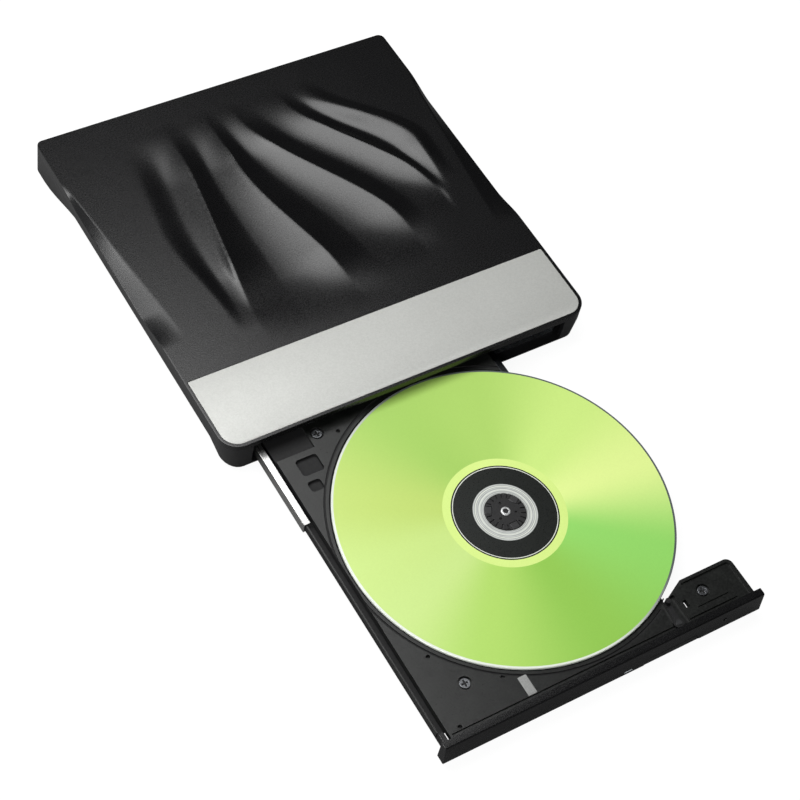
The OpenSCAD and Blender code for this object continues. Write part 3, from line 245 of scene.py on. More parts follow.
def moulded_plastic(name, dark, light, roughness, grain_mm, grain_depth_mm, blotch_mm=18.0):
    made, tree, shader, where = blank_material(name)
    grain = add(tree, "ShaderNodeTexNoise",
                {"Vector": where, "Scale": per_mm(grain_mm), "Detail": 3.0, "Roughness": 0.6}).outputs["Fac"]
    blotch = add(tree, "ShaderNodeTexNoise",
                 {"Vector": where, "Scale": per_mm(blotch_mm), "Detail": 2.0}).outputs["Fac"]
    both = add(tree, "ShaderNodeMix", {0: BLOTCH_SHARE, 2: grain, 3: blotch}, data_type="FLOAT")
    spread = add(tree, "ShaderNodeMapRange", {0: both.outputs[0], 1: MIXED_LOW, 2: MIXED_HIGH})
    colour = add(tree, "ShaderNodeMix", {0: spread.outputs[0], 6: linear(dark), 7: linear(light)},
                 data_type="RGBA")
    gloss = add(tree, "ShaderNodeMapRange", {0: grain, 1: GRAIN_LOW, 2: GRAIN_HIGH,
                                             3: roughness - SMOOTHER, 4: roughness + ROUGHER})
    bump = add(tree, "ShaderNodeBump",
               {"Height": grain, "Strength": GRAIN_STRENGTH, "Distance": grain_depth_mm * MM})
    connect(tree, shader, {"Base Color": colour.outputs[2], "Roughness": gloss.outputs[0],
                           "Normal": bump.outputs[0], "IOR": PLASTIC_IOR})
    return made


# %% The dark plastics
# Satin black cover: an even spark-eroded grain that turns the softbox into a wide glow
cover_abs = moulded_plastic("ABS_spark_grained_black", "#040405", "#0b0b0c", 0.27, 0.55, 0.03)
# Dark grey shell underneath, same grain but drier
shell_abs = moulded_plastic("ABS_grained_charcoal", "#0e0e0f", "#171718", 0.40, 0.6, 0.03)
# Tray: glass-filled PC and ABS, matt and slightly streaky
tray_pc = moulded_plastic("PC_ABS_matt_graphite", "#090a09", "#171917", 0.32, 0.7, 0.02, 5.0)
# Bezel and button: polished tool, so a sharper highlight
bezel_abs = moulded_plastic("ABS_polished_black", "#060607", "#0d0d0e", 0.26, 0.5, 0.004)
# Guides, lever and hub: acetal, slippery and waxy
acetal = moulded_plastic("acetal_black", "#0d0d0e", "#161617", 0.38, 0.4, 0.012)
# Claws: acetal in grey, a little paler than the hub round them
claw_acetal = moulded_plastic("acetal_grey", "#1c1c1d", "#2a2a2b", 0.40, 0.4, 0.012)
# Pockets, the side channel and the disc recess: the same moulding as the tray, left rough by the tool, with a
# darker colour that is painted shade in the hollows
painted_shade_pc = moulded_plastic("PC_ABS_rough_black_painted_shade", "#050506", "#0a0a0b", 0.75, 0.9, 0.05)
# Feet and dampers: soft rubber, quite dull
rubber = moulded_plastic("nitrile_rubber_black", "#101010", "#1b1b1b", 0.78, 0.5, 0.03)
# Chips and connectors: filled epoxy, fine and matt
epoxy = moulded_plastic("moulded_epoxy_black", "#101011", "#1c1c1d", 0.55, 0.25, 0.01)
print("plastics made")

# %% [markdown]
# ## Metals and paint
# The slide rails are bright rolled steel strip, drawn lengthwise, so their fine streaks run along the
# travel. Housing sheet is zinc plated and duller. The front panel is plastic sprayed with a silver paint
# full of tiny flakes.

# %% Recipe for a drawn metal
CLOUD_MM, CLOUD_SHARE, STREAK_STRENGTH, STREAK_DEPTH_MM = 14.0, 0.4, 0.35, 0.01
# How much smoother and rougher the streaks are than the roughness given
BRIGHTER, DULLER = 0.07, 0.08
LENGTHWISE, EVERY_WAY, UPWARDS = (1.0, 0.02, 1.0), (1, 1, 1), (1, 1, 0.1)


def drawn_metal(name, dark, light, roughness, streak_mm, along=LENGTHWISE, metallic=1.0):
    made, tree, shader, where = blank_material(name)
    stretched = add(tree, "ShaderNodeMapping", {"Vector": where, "Scale": along}).outputs[0]
    streak = add(tree, "ShaderNodeTexNoise",
                 {"Vector": stretched, "Scale": per_mm(streak_mm), "Detail": 4.0}).outputs["Fac"]
    cloud = add(tree, "ShaderNodeTexNoise",
                {"Vector": where, "Scale": per_mm(CLOUD_MM), "Detail": 2.0}).outputs["Fac"]
    both = add(tree, "ShaderNodeMix", {0: CLOUD_SHARE, 2: streak, 3: cloud}, data_type="FLOAT")
    colour = add(tree, "ShaderNodeMix", {0: both.outputs[0], 6: linear(dark), 7: linear(light)},
                 data_type="RGBA")
    gloss = add(tree, "ShaderNodeMapRange", {0: streak, 1: NOISE_LOW, 2: NOISE_HIGH,
                                             3: roughness - BRIGHTER, 4: roughness + DULLER})
    bump = add(tree, "ShaderNodeBump",
               {"Height": streak, "Strength": STREAK_STRENGTH, "Distance": STREAK_DEPTH_MM * MM})
    connect(tree, shader, {"Base Color": colour.outputs[2], "Roughness": gloss.outputs[0],
                           "Normal": bump.outputs[0], "Metallic": metallic})
    return made


# %% The metals
# Rails: rolled strip, streaked along the travel, one bright and one dark grey
rail_steel = drawn_metal("rolled_bright_steel", "#bcbcba", "#dcdcda", 0.30, 0.35)
dark_steel = drawn_metal("dark_grey_rail_steel", "#2b2d2f", "#46484b", 0.34, 0.35)
# Housing sheet: zinc plate, a grey and even shine
sheet_zinc = drawn_metal("zinc_plated_sheet", "#8b8f92", "#aeb2b5", 0.40, 0.6)
# Screws: black nickel, dark but still metallic
screw_steel = drawn_metal("black_nickel_screw_steel", "#5b5d60", "#87898c", 0.34, 0.2, EVERY_WAY)
# Rods: ground and chromed, nearly a mirror
chrome = drawn_metal("ground_chromed_steel", "#c9cbcd", "#e6e7e8", 0.14, 0.2, EVERY_WAY)
# Motors: machined cans, with fine marks up their sides
motor_alloy = drawn_metal("machined_aluminium", "#7d8185", "#a0a4a8", 0.36, 0.3, UPWARDS)
# Pickup sled: a dull dark casting
sled_zinc = drawn_metal("cast_zinc_dark", "#3a3d40", "#505458", 0.5, 0.5, EVERY_WAY)
print("metals made")

# %% Silver paint on the panel
# Flake paint: the flakes face every way, so it is bright but not a mirror. They are drawn coarse, to show
FLAKE_MM, MOTTLE_MM = 0.45, 25.0
panel_paint, tree, shader, where = blank_material("silver_flake_paint")
flake = add(tree, "ShaderNodeTexVoronoi", {"Vector": where, "Scale": per_mm(FLAKE_MM)})
sift = add(tree, "ShaderNodeSeparateColor", {0: flake.outputs["Color"]})
mottle = add(tree, "ShaderNodeTexNoise", {"Vector": where, "Scale": per_mm(MOTTLE_MM), "Detail": 2.0})
blend = add(tree, "ShaderNodeMix", {0: 0.5, 2: sift.outputs[0], 3: mottle.outputs["Fac"]}, data_type="FLOAT")
colour = add(tree, "ShaderNodeMix", {0: blend.outputs[0], 6: linear("#b0b1ad"), 7: linear("#c0c1bd")},
             data_type="RGBA")
gloss = add(tree, "ShaderNodeMapRange", {0: sift.outputs[1], 1: 0.0, 2: 1.0, 3: 0.46, 4: 0.58})
bump = add(tree, "ShaderNodeBump", {"Height": sift.outputs[2], "Strength": 0.25, "Distance": 0.01 * MM})
connect(tree, shader, {"Base Color": colour.outputs[2], "Roughness": gloss.outputs[0],
                       "Normal": bump.outputs[0], "Metallic": 0.2})
print("paint made")

# %% [markdown]
# ## Pieces from solids
# A CAD solid has knife-sharp edges, while a moulding always has a small radius that catches a line of
# light. So a visible solid is copied, its loose triangles are merged, and its hard edges get a small bevel.
# The copy stands for the solid.

# %% Helpers that make a piece
TINY = 1e-6
body_of = {n: b for b, names in frame["record"]["behaviour"]["bodies"].items() for n in names}
slot_of = {s["node"]: s["material_slot"] for s in frame["record"]["subparts"]}


def place(bm, name, materials, body, slot, *nodes):
    mesh = bpy.data.meshes.new(name)
    bm.to_mesh(mesh)
    bm.free()
    for m in materials:
        mesh.materials.append(m)
    piece = bpy.data.objects.new(name, mesh)
    bpy.context.scene.collection.objects.link(piece)
    if body:
        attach(piece, body)
    if nodes:
        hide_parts(*nodes)
    print(name, len(mesh.polygons), "faces")
    return piece


def hard_edges(bm, angle):
    return [e for e in bm.edges if len(e.link_faces) == 2 and e.calc_face_angle(0) > math.radians(angle)]


def shade(bm, angle):
    hard = set(hard_edges(bm, angle))
    for f in bm.faces:
        f.smooth = True
    for e in bm.edges:
        e.smooth = e not in hard


def round_edges(bm, edges, radius_mm, steps, clamp=True):
    bmesh.ops.bevel(bm, geom=edges, offset=radius_mm * MM, offset_type="OFFSET", affect="EDGES",
                    segments=steps, profile=0.5, material=-1, clamp_overlap=clamp)


def soften(node, materials, width_mm, pick=None, angle=30):
    """Stand a copy with eased edges for a solid. pick chooses a face's material by its place and facing."""
    bm = bmesh.new()
    bm.from_mesh(frame["nodes"][node].data)
    bmesh.ops.remove_doubles(bm, verts=bm.verts, dist=TINY)
    bmesh.ops.dissolve_limit(bm, angle_limit=math.radians(1.0), verts=bm.verts, edges=bm.edges)
    round_edges(bm, hard_edges(bm, angle), width_mm, 2)
    bmesh.ops.triangulate(bm, faces=[f for f in bm.faces if len(f.verts) > 4])
    shade(bm, 20)
    for f in bm.faces if pick else ():
        f.material_index = pick(f.calc_center_median() / MM, f.normal)
    return place(bm, node + "_moulding", materials, body_of[node], slot_of[node], node)


# %% [markdown]
# ## The sculpted cover
# The cover is one moulding whose top flows in five folds like draped cloth, and whose long sides are
# scooped. A flat grid is the easiest start: its rows are drawn to the rounded outline of the case, each
# point is raised to the height of the folds, and the border is then pulled down to make the skirt. The
# folds follow the same crest lines as the solid.

# %% Measures of the cover
low, high = (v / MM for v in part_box("top_cover"))
case_x, case_y0, case_y1, lid_z0 = high.x, low.y, high.y, low.z
panel_low, panel_high = (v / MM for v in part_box("trim_panel"))
lid_z1 = panel_high.z
FRONT_R, BACK_R = 7.5, 2.5
# Each crest: x at the back and front, y where it starts to swing and has swung, and y where it dies away
Crest = namedtuple("Crest", "back_x front_x swing_y swung_y end_y")
CRESTS = (Crest(-28, -38.8, 125, 25, 36), Crest(-11.3, 1.3, 100, 30, 27), Crest(0, 34, 125, 46, 37),
          Crest(20, 54, 128, 58, 53), Crest(31, 58.6, 128, 85, 62))
CREST_H, HOLLOW_H, BACK_FADE, FRONT_FADE, CREST_LEAD, FOOT_LEAD = 1.5, 1.3, 26.0, 26.0, 4, 6.0
# The first fold rises from the flat: its width, the share left at its front, its taper and its hollow's share
FIRST_RISE, FIRST_END, FIRST_TAPER, ROLL_SHARE = 20.0, 0.45, 50.0, 0.5
# Right of each crest the fold falls over a share of the way to the next, and the last one over its own width
FALL_SHARE, FALL_CURVE, LAST_FALL = 0.42, 1.4, 6.0
# A scoop narrows towards the back and ramps in over a fifth of its length at each end
SCOOP_W, SCOOP_END_W, SCOOP_DROP, SCOOP_RAMPS = 9.5, 0.6, 2.0, 5
SCULPT_GAP, RIDGE_BACK, SCOOP_FRONT, SCOOP_BACK = 3, 14, 13, 22
ridge_y1 = case_y1 - RIDGE_BACK
sculpt_y0 = panel_high.y + SCULPT_GAP
scoop_y0, scoop_y1 = sculpt_y0 + SCOOP_FRONT, case_y1 - SCOOP_BACK
print("cover", round(2 * case_x, 1), "x", round(case_y1 - case_y0, 1), "mm")


# %% Height of the folds
def ease(t):
    t = max(0.0, min(1.0, t))
    return t * t * (3 - 2 * t)


def crest_x(c, y):
    return c.back_x + (c.front_x - c.back_x) * ease((c.swing_y - y) / (c.swing_y - c.swung_y))


def fold_height(x, y):
    sunk = -HOLLOW_H * ease((ridge_y1 - y) / BACK_FADE)
    feet = [sunk * ease((y - c.end_y + FOOT_LEAD) / FRONT_FADE) for c in CRESTS] + [0.0]
    tops = [crest_x(c, y) for c in CRESTS]
    tapered = FIRST_END + (1 - FIRST_END) * ease((y - CRESTS[0].end_y) / FIRST_TAPER)
    left = tops[0] - FIRST_RISE * tapered
    if x <= left:
        return 0.0
    for i, c in enumerate(CRESTS):
        last = i + 1 == len(CRESTS)
        hollow, end = feet[i], feet[i + 1]
        fall = LAST_FALL if last else FALL_SHARE * (tops[i + 1] - tops[i])
        on = ease((ridge_y1 + CREST_LEAD - y) / BACK_FADE) * ease((y - c.end_y) / FRONT_FADE)
        top = CREST_H * on if last else hollow + (CREST_H - hollow) * on
        roll = 0.0 if i else ROLL_SHARE
        u = (x - left) / (tops[i] - left)
        if u < roll:
            return hollow * ease(u / roll)
        if u < 1:
            return hollow + (top - hollow) * (ease(u) if last else ((u - roll) / (1 - roll)) ** 2)
        if x < tops[i] + fall:
            down = 1 - (x - tops[i]) / fall
            return end + (top - end) * (ease(down) if last else down ** FALL_CURVE)
        left = tops[i] + fall
    return 0.0


# %% Scoops and outline
def along_scoop(y):
    return (y - scoop_y0) / (scoop_y1 - scoop_y0)


def scoop_width(y):
    return SCOOP_END_W + (SCOOP_W - SCOOP_END_W) * (1 - max(0.0, min(1.0, along_scoop(y))))


def scoop_height(x, y):
    t, width = along_scoop(y), scoop_width(y)
    drop = SCOOP_DROP * ease(t * SCOOP_RAMPS) * ease((1 - t) * SCOOP_RAMPS)
    return -drop * max(0.0, (abs(x) - case_x + width) / width)


def half_width(y):
    for corner_y, radius, way in ((case_y0 + FRONT_R, FRONT_R, -1), (case_y1 - BACK_R, BACK_R, 1)):
        past = (y - corner_y) * way
        if past > 0:
            return case_x - radius + math.sqrt(max(0.0, radius ** 2 - past ** 2))
    return case_x


# %% Make the cover
# The outermost columns of the grid keep to the scoops, so that the scoops' inner edges stay crisp
CORNER_ROWS, BODY_ROWS, COLUMNS, SCOOP_COLUMNS = 12, 170, 240, 16
COVER_EDGE, CREST_SMOOTHING = 0.5, 0.3
MIDDLE = 1 - 2 * SCOOP_COLUMNS / COLUMNS
corner_shares = [1 - math.cos(math.radians(90 * i / CORNER_ROWS)) for i in range(CORNER_ROWS)]
front_rows = [case_y0 + FRONT_R * share for share in corner_shares]
back_rows = [case_y1 - BACK_R * share for share in reversed(corner_shares)]
body_l = back_rows[0] - front_rows[-1]
body_rows = [front_rows[-1] + body_l * i / BODY_ROWS for i in range(1, BODY_ROWS)]
rows = front_rows + body_rows + back_rows

bm = bmesh.new()
bmesh.ops.create_grid(bm, x_segments=COLUMNS, y_segments=len(rows) - 1, size=1.0)
for v in bm.verts:
    y = rows[round((v.co.y + 1) / 2 * (len(rows) - 1))]
    share, scoop = abs(v.co.x), scoop_width(y)
    flat = half_width(y) - scoop
    across = flat * share / MIDDLE if share < MIDDLE else flat + scoop * (share - MIDDLE) / (1 - MIDDLE)
    x = math.copysign(across, v.co.x)
    v.co = Vector((x, y, lid_z1 + fold_height(x, y) + scoop_height(x, y))) * MM
sculpted = [v for v in bm.verts if not v.is_boundary and v.co.y > sculpt_y0 * MM]
bmesh.ops.smooth_vert(bm, verts=sculpted, factor=CREST_SMOOTHING, use_axis_z=True)
rim = [e for e in bm.edges if e.is_boundary]
skirt = bmesh.ops.extrude_edge_only(bm, edges=rim)["geom"]
for v in (g for g in skirt if isinstance(g, bmesh.types.BMVert)):
    v.co.z = lid_z0 * MM
open_edges = [g for g in skirt if isinstance(g, bmesh.types.BMEdge) and g.is_boundary]
bmesh.ops.contextual_create(bm, geom=open_edges)
bmesh.ops.recalc_face_normals(bm, faces=bm.faces)
round_edges(bm, [e for e in rim if e.is_valid], COVER_EDGE, 3)
shade(bm, 40)
cover = place(bm, "sculpted_cover", [cover_abs], "case", "cover_black", "top_cover")

# %% [markdown]
# ## The silver panel and its seat
# The panel lies in a shallow seat, flush with the cover, with a hairline gap all round. A cube with rounded
# upright edges gives both the panel and, grown by the gap, the cutter for the seat.

# %% Panel
RIM_W, PANEL_BACK_R, PANEL_GAP, PANEL_EDGE, CUTTER_RISE, CORNER_STEPS = 1.2, 0.5, 0.12, 0.22, 2, 14
panel_r = FRONT_R - RIM_W


def rounded_plate(low, high, front_r, back_r):
    bm = bmesh.new()
    bmesh.ops.create_cube(bm, size=1.0)
    for v in bm.verts:
        v.co = Vector([(high if v.co[i] > 0 else low)[i] * MM for i in range(3)])
    middle_y = (low[1] + high[1]) / 2 * MM
    for radius, at_front in ((front_r, True), (back_r, False)):
        uprights = [e for e in bm.edges if abs(e.verts[0].co.z - e.verts[1].co.z) > TINY]
        chosen = [e for e in uprights if (e.verts[0].co.y < middle_y) == at_front]
        round_edges(bm, chosen, radius, CORNER_STEPS, clamp=False)
    bmesh.ops.recalc_face_normals(bm, faces=bm.faces)
    return bm


bm = rounded_plate(panel_low, panel_high, panel_r, PANEL_BACK_R)
upper = (panel_high.z - 0.1) * MM
round_edges(bm, [e for e in hard_edges(bm, 60) if all(v.co.z > upper for v in e.verts)], PANEL_EDGE, 2)
shade(bm, 40)
place(bm, "front_panel", [panel_paint], "case", "panel_silver", "trim_panel")

# %% Seat for the panel
grow = Vector((PANEL_GAP, PANEL_GAP, 0))
rise = Vector((0, 0, CUTTER_RISE))
bm = rounded_plate(panel_low - grow, panel_high + grow + rise, panel_r + PANEL_GAP, PANEL_BACK_R)
cutter_mesh = bpy.data.meshes.new("seat_cutter")
bm.to_mesh(cutter_mesh)
bm.free()
cutter = bpy.data.objects.new("seat_cutter", cutter_mesh)
bpy.context.scene.collection.objects.link(cutter)
seat = cover.modifiers.new("panel_seat", "BOOLEAN")
seat.operation, seat.solver, seat.object = "DIFFERENCE", "EXACT", cutter
cut_mesh = bpy.data.meshes.new_from_object(cover.evaluated_get(bpy.context.evaluated_depsgraph_get()))
cover.modifiers.clear()
cover.data = cut_mesh
bpy.data.objects.remove(cutter)
print("cover with seat", len(cover.data.polygons), "faces")

# %% [markdown]
# ## Mouldings and rails
# These solids already have the right shape, so they only need their edges eased, each by a width in
# millimetres that suits how it is made: wide on a big moulding, narrow on folded strip.

# %% Soften the visible solids
soften("base_shell", [shell_abs], 0.3, angle=38)
soften("tray_bezel", [bezel_abs], 0.22)
soften("eject_button", [bezel_abs], 0.15)
soften("left_slide_rail", [rail_steel], 0.10)
soften("right_slide_rail", [dark_steel], 0.10)
soften("latch_lever", [acetal], 0.12)
soften("hub_claws", [claw_acetal], 0.15)

# %% The tray
# Everything below the tray's flat top is a pocket, the side channel or the disc's recess, and is left rough,
# with a darker colour as painted shade
disc_low, disc_high = (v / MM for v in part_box("disc"))
disc_mid = (disc_low + disc_high) / 2
tray_x0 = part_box("disc_tray")[0].x / MM
tray_top = disc_high.z - 0.5
RECESS_R, RUNNER_TOP, TRAY_LEFT = 62.6, 7.3, -59.6
POCKET_WALL, POCKETS_X1, POCKETS_Y0, POCKETS_Z0 = 0.5, 32, -35, 7.0


def tray_painted_shade(at, facing):
    in_recess = math.hypot(at.x - disc_mid.x, at.y - disc_mid.y) < RECESS_R and at.z < tray_top - 0.1
    over_pockets = tray_x0 + POCKET_WALL < at.x < POCKETS_X1 and POCKETS_Y0 < at.y
    in_pocket = over_pockets and POCKETS_Z0 < at.z < tray_top - 0.2
    in_channel = at.x < TRAY_LEFT + 0.1 and at.z < RUNNER_TOP - 0.2 and facing.z > -0.5
    return 1 if in_recess or in_pocket or in_channel else 0


soften("disc_tray", [tray_pc, painted_shade_pc], 0.14, pick=tray_painted_shade)

# %% Tray screws and hub
# The cross of a screw and the low parts of the hub's top take the rough pocket plastic, whose darker colour
# is painted shade
screw_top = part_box("tray_screws")[1].z / MM
hub_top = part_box("spindle_hub")[1].z / MM
CROSS_DEPTH, CROWN_H = 0.1, 0.6


def screw_painted_shade(at, facing):
    return 1 if facing.z > 0.9 and at.z < screw_top - CROSS_DEPTH else 0


def hub_painted_shade(at, facing):
    return 1 if disc_high.z < at.z < hub_top - CROWN_H else 0


soften("tray_screws", [screw_steel, painted_shade_pc], 0.12, pick=screw_painted_shade)
soften("spindle_hub", [acetal, painted_shade_pc], 0.08, pick=hub_painted_shade)

# %% [markdown]
# ## The disc
# A recordable disc is clear polycarbonate with a dyed mirror layer inside and a print on top. The print
# stops short of the rim, where the clear plastic shows, and the middle has its own rings: clear plastic
# round the hole, a dark clamping ring and a thin pale line. Spinning one profile gives every ring its own
# faces.


# %% Painted light that turns round the disc's middle
def from_axis(tree, where):
    centre = (-disc_mid.x * MM, -disc_mid.y * MM, 0)
    return add(tree, "ShaderNodeMapping", {"Vector": where, "Location": centre}).outputs[0]


def painted_light_fan(tree, where, stops):
    """A ramp of painted highlight and shade round the disc's axis: 0 and 1 lie at -X, 0.5 at +X."""
    sweep = add(tree, "ShaderNodeTexGradient", {"Vector": from_axis(tree, where)}, gradient_type="RADIAL")
    fan = add(tree, "ShaderNodeValToRGB", {0: sweep.outputs["Fac"]})
    ramp = fan.color_ramp
    ramp.interpolation = "EASE"
    for element, position in zip(ramp.elements, (0.0, 1.0)):
        element.position, element.color = position, linear(stops[0][1])
    for position, colour in stops[1:]:
        ramp.elements.new(position).color = linear(colour)
    return fan.outputs["Color"]


# %% Green ink
# Metallic green ink over the mirror layer, with fine specks; its two pale sweeps that fan out from the middle
# are a painted highlight, standing in for the lights' reflection on the disc
PAINTED_HIGHLIGHT_SWEEPS = ((0.00, "#cce886"), (0.06, "#cdea8b"), (0.14, "#b6e06a"), (0.26, "#98cf54"), (0.39, "#9ae06c"),
          (0.49, "#eaff9c"), (0.58, "#d4f488"), (0.70, "#b2da6b"), (0.80, "#a9d363"), (0.92, "#c2dc70"))
green_ink, tree, shader, where = blank_material("metallic_green_ink_painted_highlight")
fan = painted_light_fan(tree, where, PAINTED_HIGHLIGHT_SWEEPS)
speck = add(tree, "ShaderNodeTexNoise", {"Vector": where, "Scale": per_mm(0.6), "Detail": 2.0}).outputs["Fac"]
worn = add(tree, "ShaderNodeMapRange", {0: speck, 1: NOISE_LOW, 2: NOISE_HIGH, 3: 0.885, 4: 0.91})
ink = add(tree, "ShaderNodeVectorMath", {0: fan, 1: worn.outputs[0]}, operation="MULTIPLY")
gloss = add(tree, "ShaderNodeMapRange", {0: speck, 1: NOISE_LOW, 2: NOISE_HIGH, 3: 0.29, 4: 0.32})
connect(tree, shader, {"Base Color": ink.outputs[0], "Roughness": gloss.outputs[0], "Metallic": 0.05,
                       "Coat Weight": 0.1, "Coat Roughness": 0.12})
print("green ink with", len(PAINTED_HIGHLIGHT_SWEEPS), "colours")

# %% Other disc finishes
# Screen inks: thin, smooth and opaque
dark_ink = moulded_plastic("screen_printed_black", "#060a07", "#0a100b", 0.30, 0.3, 0.001)
stack_ring = moulded_plastic("printed_stacking_ring", "#cbe57d", "#d3eb87", 0.40, 0.3, 0.001)
pale_ink = moulded_plastic("screen_printed_white", "#cfd3c8", "#dfe3d8", 0.36, 0.3, 0.001)
# Mirror layer seen from below: sputtered aluminium
mirror_ring = drawn_metal("mirror_band_aluminium", "#8d918d", "#b3b7b2", 0.22, 0.3, EVERY_WAY)

# Clear rim: a painted highlight makes one side of the edge pale, and painted shade keeps the other side dark
RIM_PAINTED_LIGHT = ((0.00, "#e4e9df"), (0.24, "#dfe5da"), (0.38, "#565c5c"), (0.74, "#5c6460"), (0.88, "#d4dacf"))
clear_rim, tree, shader, where = blank_material("clear_polycarbonate_rim_painted_light")
speck = add(tree, "ShaderNodeTexNoise", {"Vector": where, "Scale": per_mm(0.8), "Detail": 2.0}).outputs["Fac"]
gloss = add(tree, "ShaderNodeMapRange", {0: speck, 1: NOISE_LOW, 2: NOISE_HIGH, 3: 0.12, 4: 0.2})
connect(tree, shader, {"Base Color": painted_light_fan(tree, where, RIM_PAINTED_LIGHT), "Roughness": gloss.outputs[0]})

# Clear plastic round the hole: the die leaves fine rings there, 0.6 mm apart
clamp_ring, tree, shader, where = blank_material("clear_hub_over_aluminium")
die_rings = add(tree, "ShaderNodeTexWave",
                {"Vector": from_axis(tree, where), "Scale": WAVE_WIDTH * per_mm(0.6), "Distortion": 0.6},
                wave_type="RINGS", rings_direction="Z")
cloud = add(tree, "ShaderNodeTexNoise", {"Vector": where, "Scale": per_mm(5.0), "Detail": 2.0})
both = add(tree, "ShaderNodeMix", {0: 0.45, 2: die_rings.outputs["Fac"], 3: cloud.outputs["Fac"]},
           data_type="FLOAT")
colour = add(tree, "ShaderNodeMix", {0: both.outputs[0], 6: linear("#8a8e8a"), 7: linear("#e2e5e1")},
             data_type="RGBA")
connect(tree, shader, {"Base Color": colour.outputs[2], "Metallic": 0.25, "Roughness": 0.3})
print("disc finishes made")


# %% Spin the disc
def lathe(profile, steps, closed):
    """Spin radii and heights in millimetres round the disc's axis. An open profile has its end filled."""
    bm = bmesh.new()
    axis = Vector((disc_mid.x, disc_mid.y, 0)) * MM
    points = [bm.verts.new(((disc_mid.x + r) * MM, disc_mid.y * MM, z * MM)) for r, z in profile]
    following = points[1:] + points[:1] if closed else points[1:]
    edges = [bm.edges.new(pair) for pair in zip(points, following)]
    bmesh.ops.spin(bm, geom=points + edges, cent=axis, axis=(0, 0, 1), angle=2 * math.pi, steps=steps,
                   use_merge=True)
    bmesh.ops.remove_doubles(bm, verts=bm.verts, dist=1e-7)
    if not closed:
        bmesh.ops.contextual_create(bm, geom=[e for e in bm.edges if e.is_boundary])
    bmesh.ops.recalc_face_normals(bm, faces=bm.faces)
    return bm


# Ring edges from the hole outwards, each with the finish that starts there
RINGS = ((7.5, clamp_ring), (8.9, pale_ink), (9.2, clamp_ring), (10.3, pale_ink), (10.6, clamp_ring),
         (11.4, dark_ink), (18.2, pale_ink), (18.5, dark_ink), (19.0, stack_ring), (21.9, green_ink),
         (59.2, clear_rim))
DISC_EDGE, MIRROR_R = 0.18, 22.0
hole_r, print_r, disc_r = RINGS[0][0], RINGS[-1][0], (disc_high.x - disc_low.x) / 2
top, bottom = disc_high.z, disc_low.z
rim_profile = [(disc_r - DISC_EDGE, top), (disc_r, top - DISC_EDGE),
               (disc_r, bottom + DISC_EDGE), (disc_r - DISC_EDGE, bottom)]
underside = [(print_r, bottom), (MIRROR_R, bottom), (hole_r, bottom)]
bm = lathe([(r, top) for r, _ in RINGS] + rim_profile + underside, 192, closed=True)

disc_materials = list(dict.fromkeys([f for _, f in RINGS] + [mirror_ring]))
for f in bm.faces:
    middle = f.calc_center_median() / MM
    reach = math.hypot(middle.x - disc_mid.x, middle.y - disc_mid.y)
    chosen = clear_rim
    if f.normal.z > 0.9 and reach < print_r:
        chosen = [finish for r, finish in RINGS if r < reach * 1.0005][-1]
    elif f.normal.z < -0.9 and MIRROR_R < reach < print_r:
        chosen = mirror_ring
    f.material_index = disc_materials.index(chosen)
shade(bm, 30)
place(bm, "printed_disc", disc_materials, "spindle", "disc_print", "disc")

# %% [markdown]
# ## The spindle's centre
# The end of the motor's shaft shows in the middle of the hub. It is turned on a lathe, so it has a small
# dimple from the centre drill, a flat ring round it and a rounded edge. Spinning that profile makes the
# same shape as the lathe.

# %% Centre pin
# Turned steel: fine rings from the tool give it a satin brightness from every side
pin_steel = drawn_metal("turned_shaft_steel", "#b4b6b6", "#dcdddd", 0.34, 0.2, EVERY_WAY, metallic=0.55)
# Radii, and heights from the top of the hub
PIN = ((0.0, -0.42), (0.55, -0.34), (0.8, -0.06), (0.95, 0.0), (1.45, 0.0), (1.65, -0.08), (1.75, -0.25),
       (1.75, -0.75))
bm = lathe([(r, hub_top + z) for r, z in PIN], 40, closed=False)
shade(bm, 40)
place(bm, "spindle_pin", [pin_steel], "spindle", "rod_chrome")

# %% [markdown]
# ## Boards, cable, coil and lamp
# The circuit boards are glass fibre under green solder mask with copper tracks showing through as lighter
# lines. The flat cable is white polyester over parallel conductors, and the coil is close turns of
# enamelled wire. These pieces are mostly hidden, so simple patterns at the right size are enough.

# %% Board, cable, coil and lamp finishes
# Solder mask: a glossy green skin over tracks in blocks of 6 mm
board_mask, tree, shader, where = blank_material("green_solder_mask")
tracks = add(tree, "ShaderNodeTexBrick",
             {"Vector": where, "Scale": per_mm(6.0), "Color1": linear("#1c5a3a"), "Color2": linear("#174d31"),
              "Mortar": linear("#3f8a5c"), "Mortar Size": 0.03})
weave = add(tree, "ShaderNodeTexNoise", {"Vector": where, "Scale": per_mm(0.8), "Detail": 2.0}).outputs["Fac"]
gloss = add(tree, "ShaderNodeMapRange", {0: weave, 1: NOISE_LOW, 2: NOISE_HIGH, 3: 0.3, 4: 0.42})
connect(tree, shader, {"Base Color": tracks.outputs["Color"], "Roughness": gloss.outputs[0]})

# Flat cable: white film in which conductors about 1 mm apart show as stripes
flex_film, tree, shader, where = blank_material("polyester_flat_cable")
lines = add(tree, "ShaderNodeTexWave",
            {"Vector": where, "Scale": WAVE_WIDTH * per_mm(1.005), "Distortion": 0.0}, bands_direction="X")
colour = add(tree, "ShaderNodeMix", {0: lines.outputs["Fac"], 6: linear("#d9d3c2"), 7: linear("#efece2")},
             data_type="RGBA")
connect(tree, shader, {"Base Color": colour.outputs[2], "Roughness": 0.4})

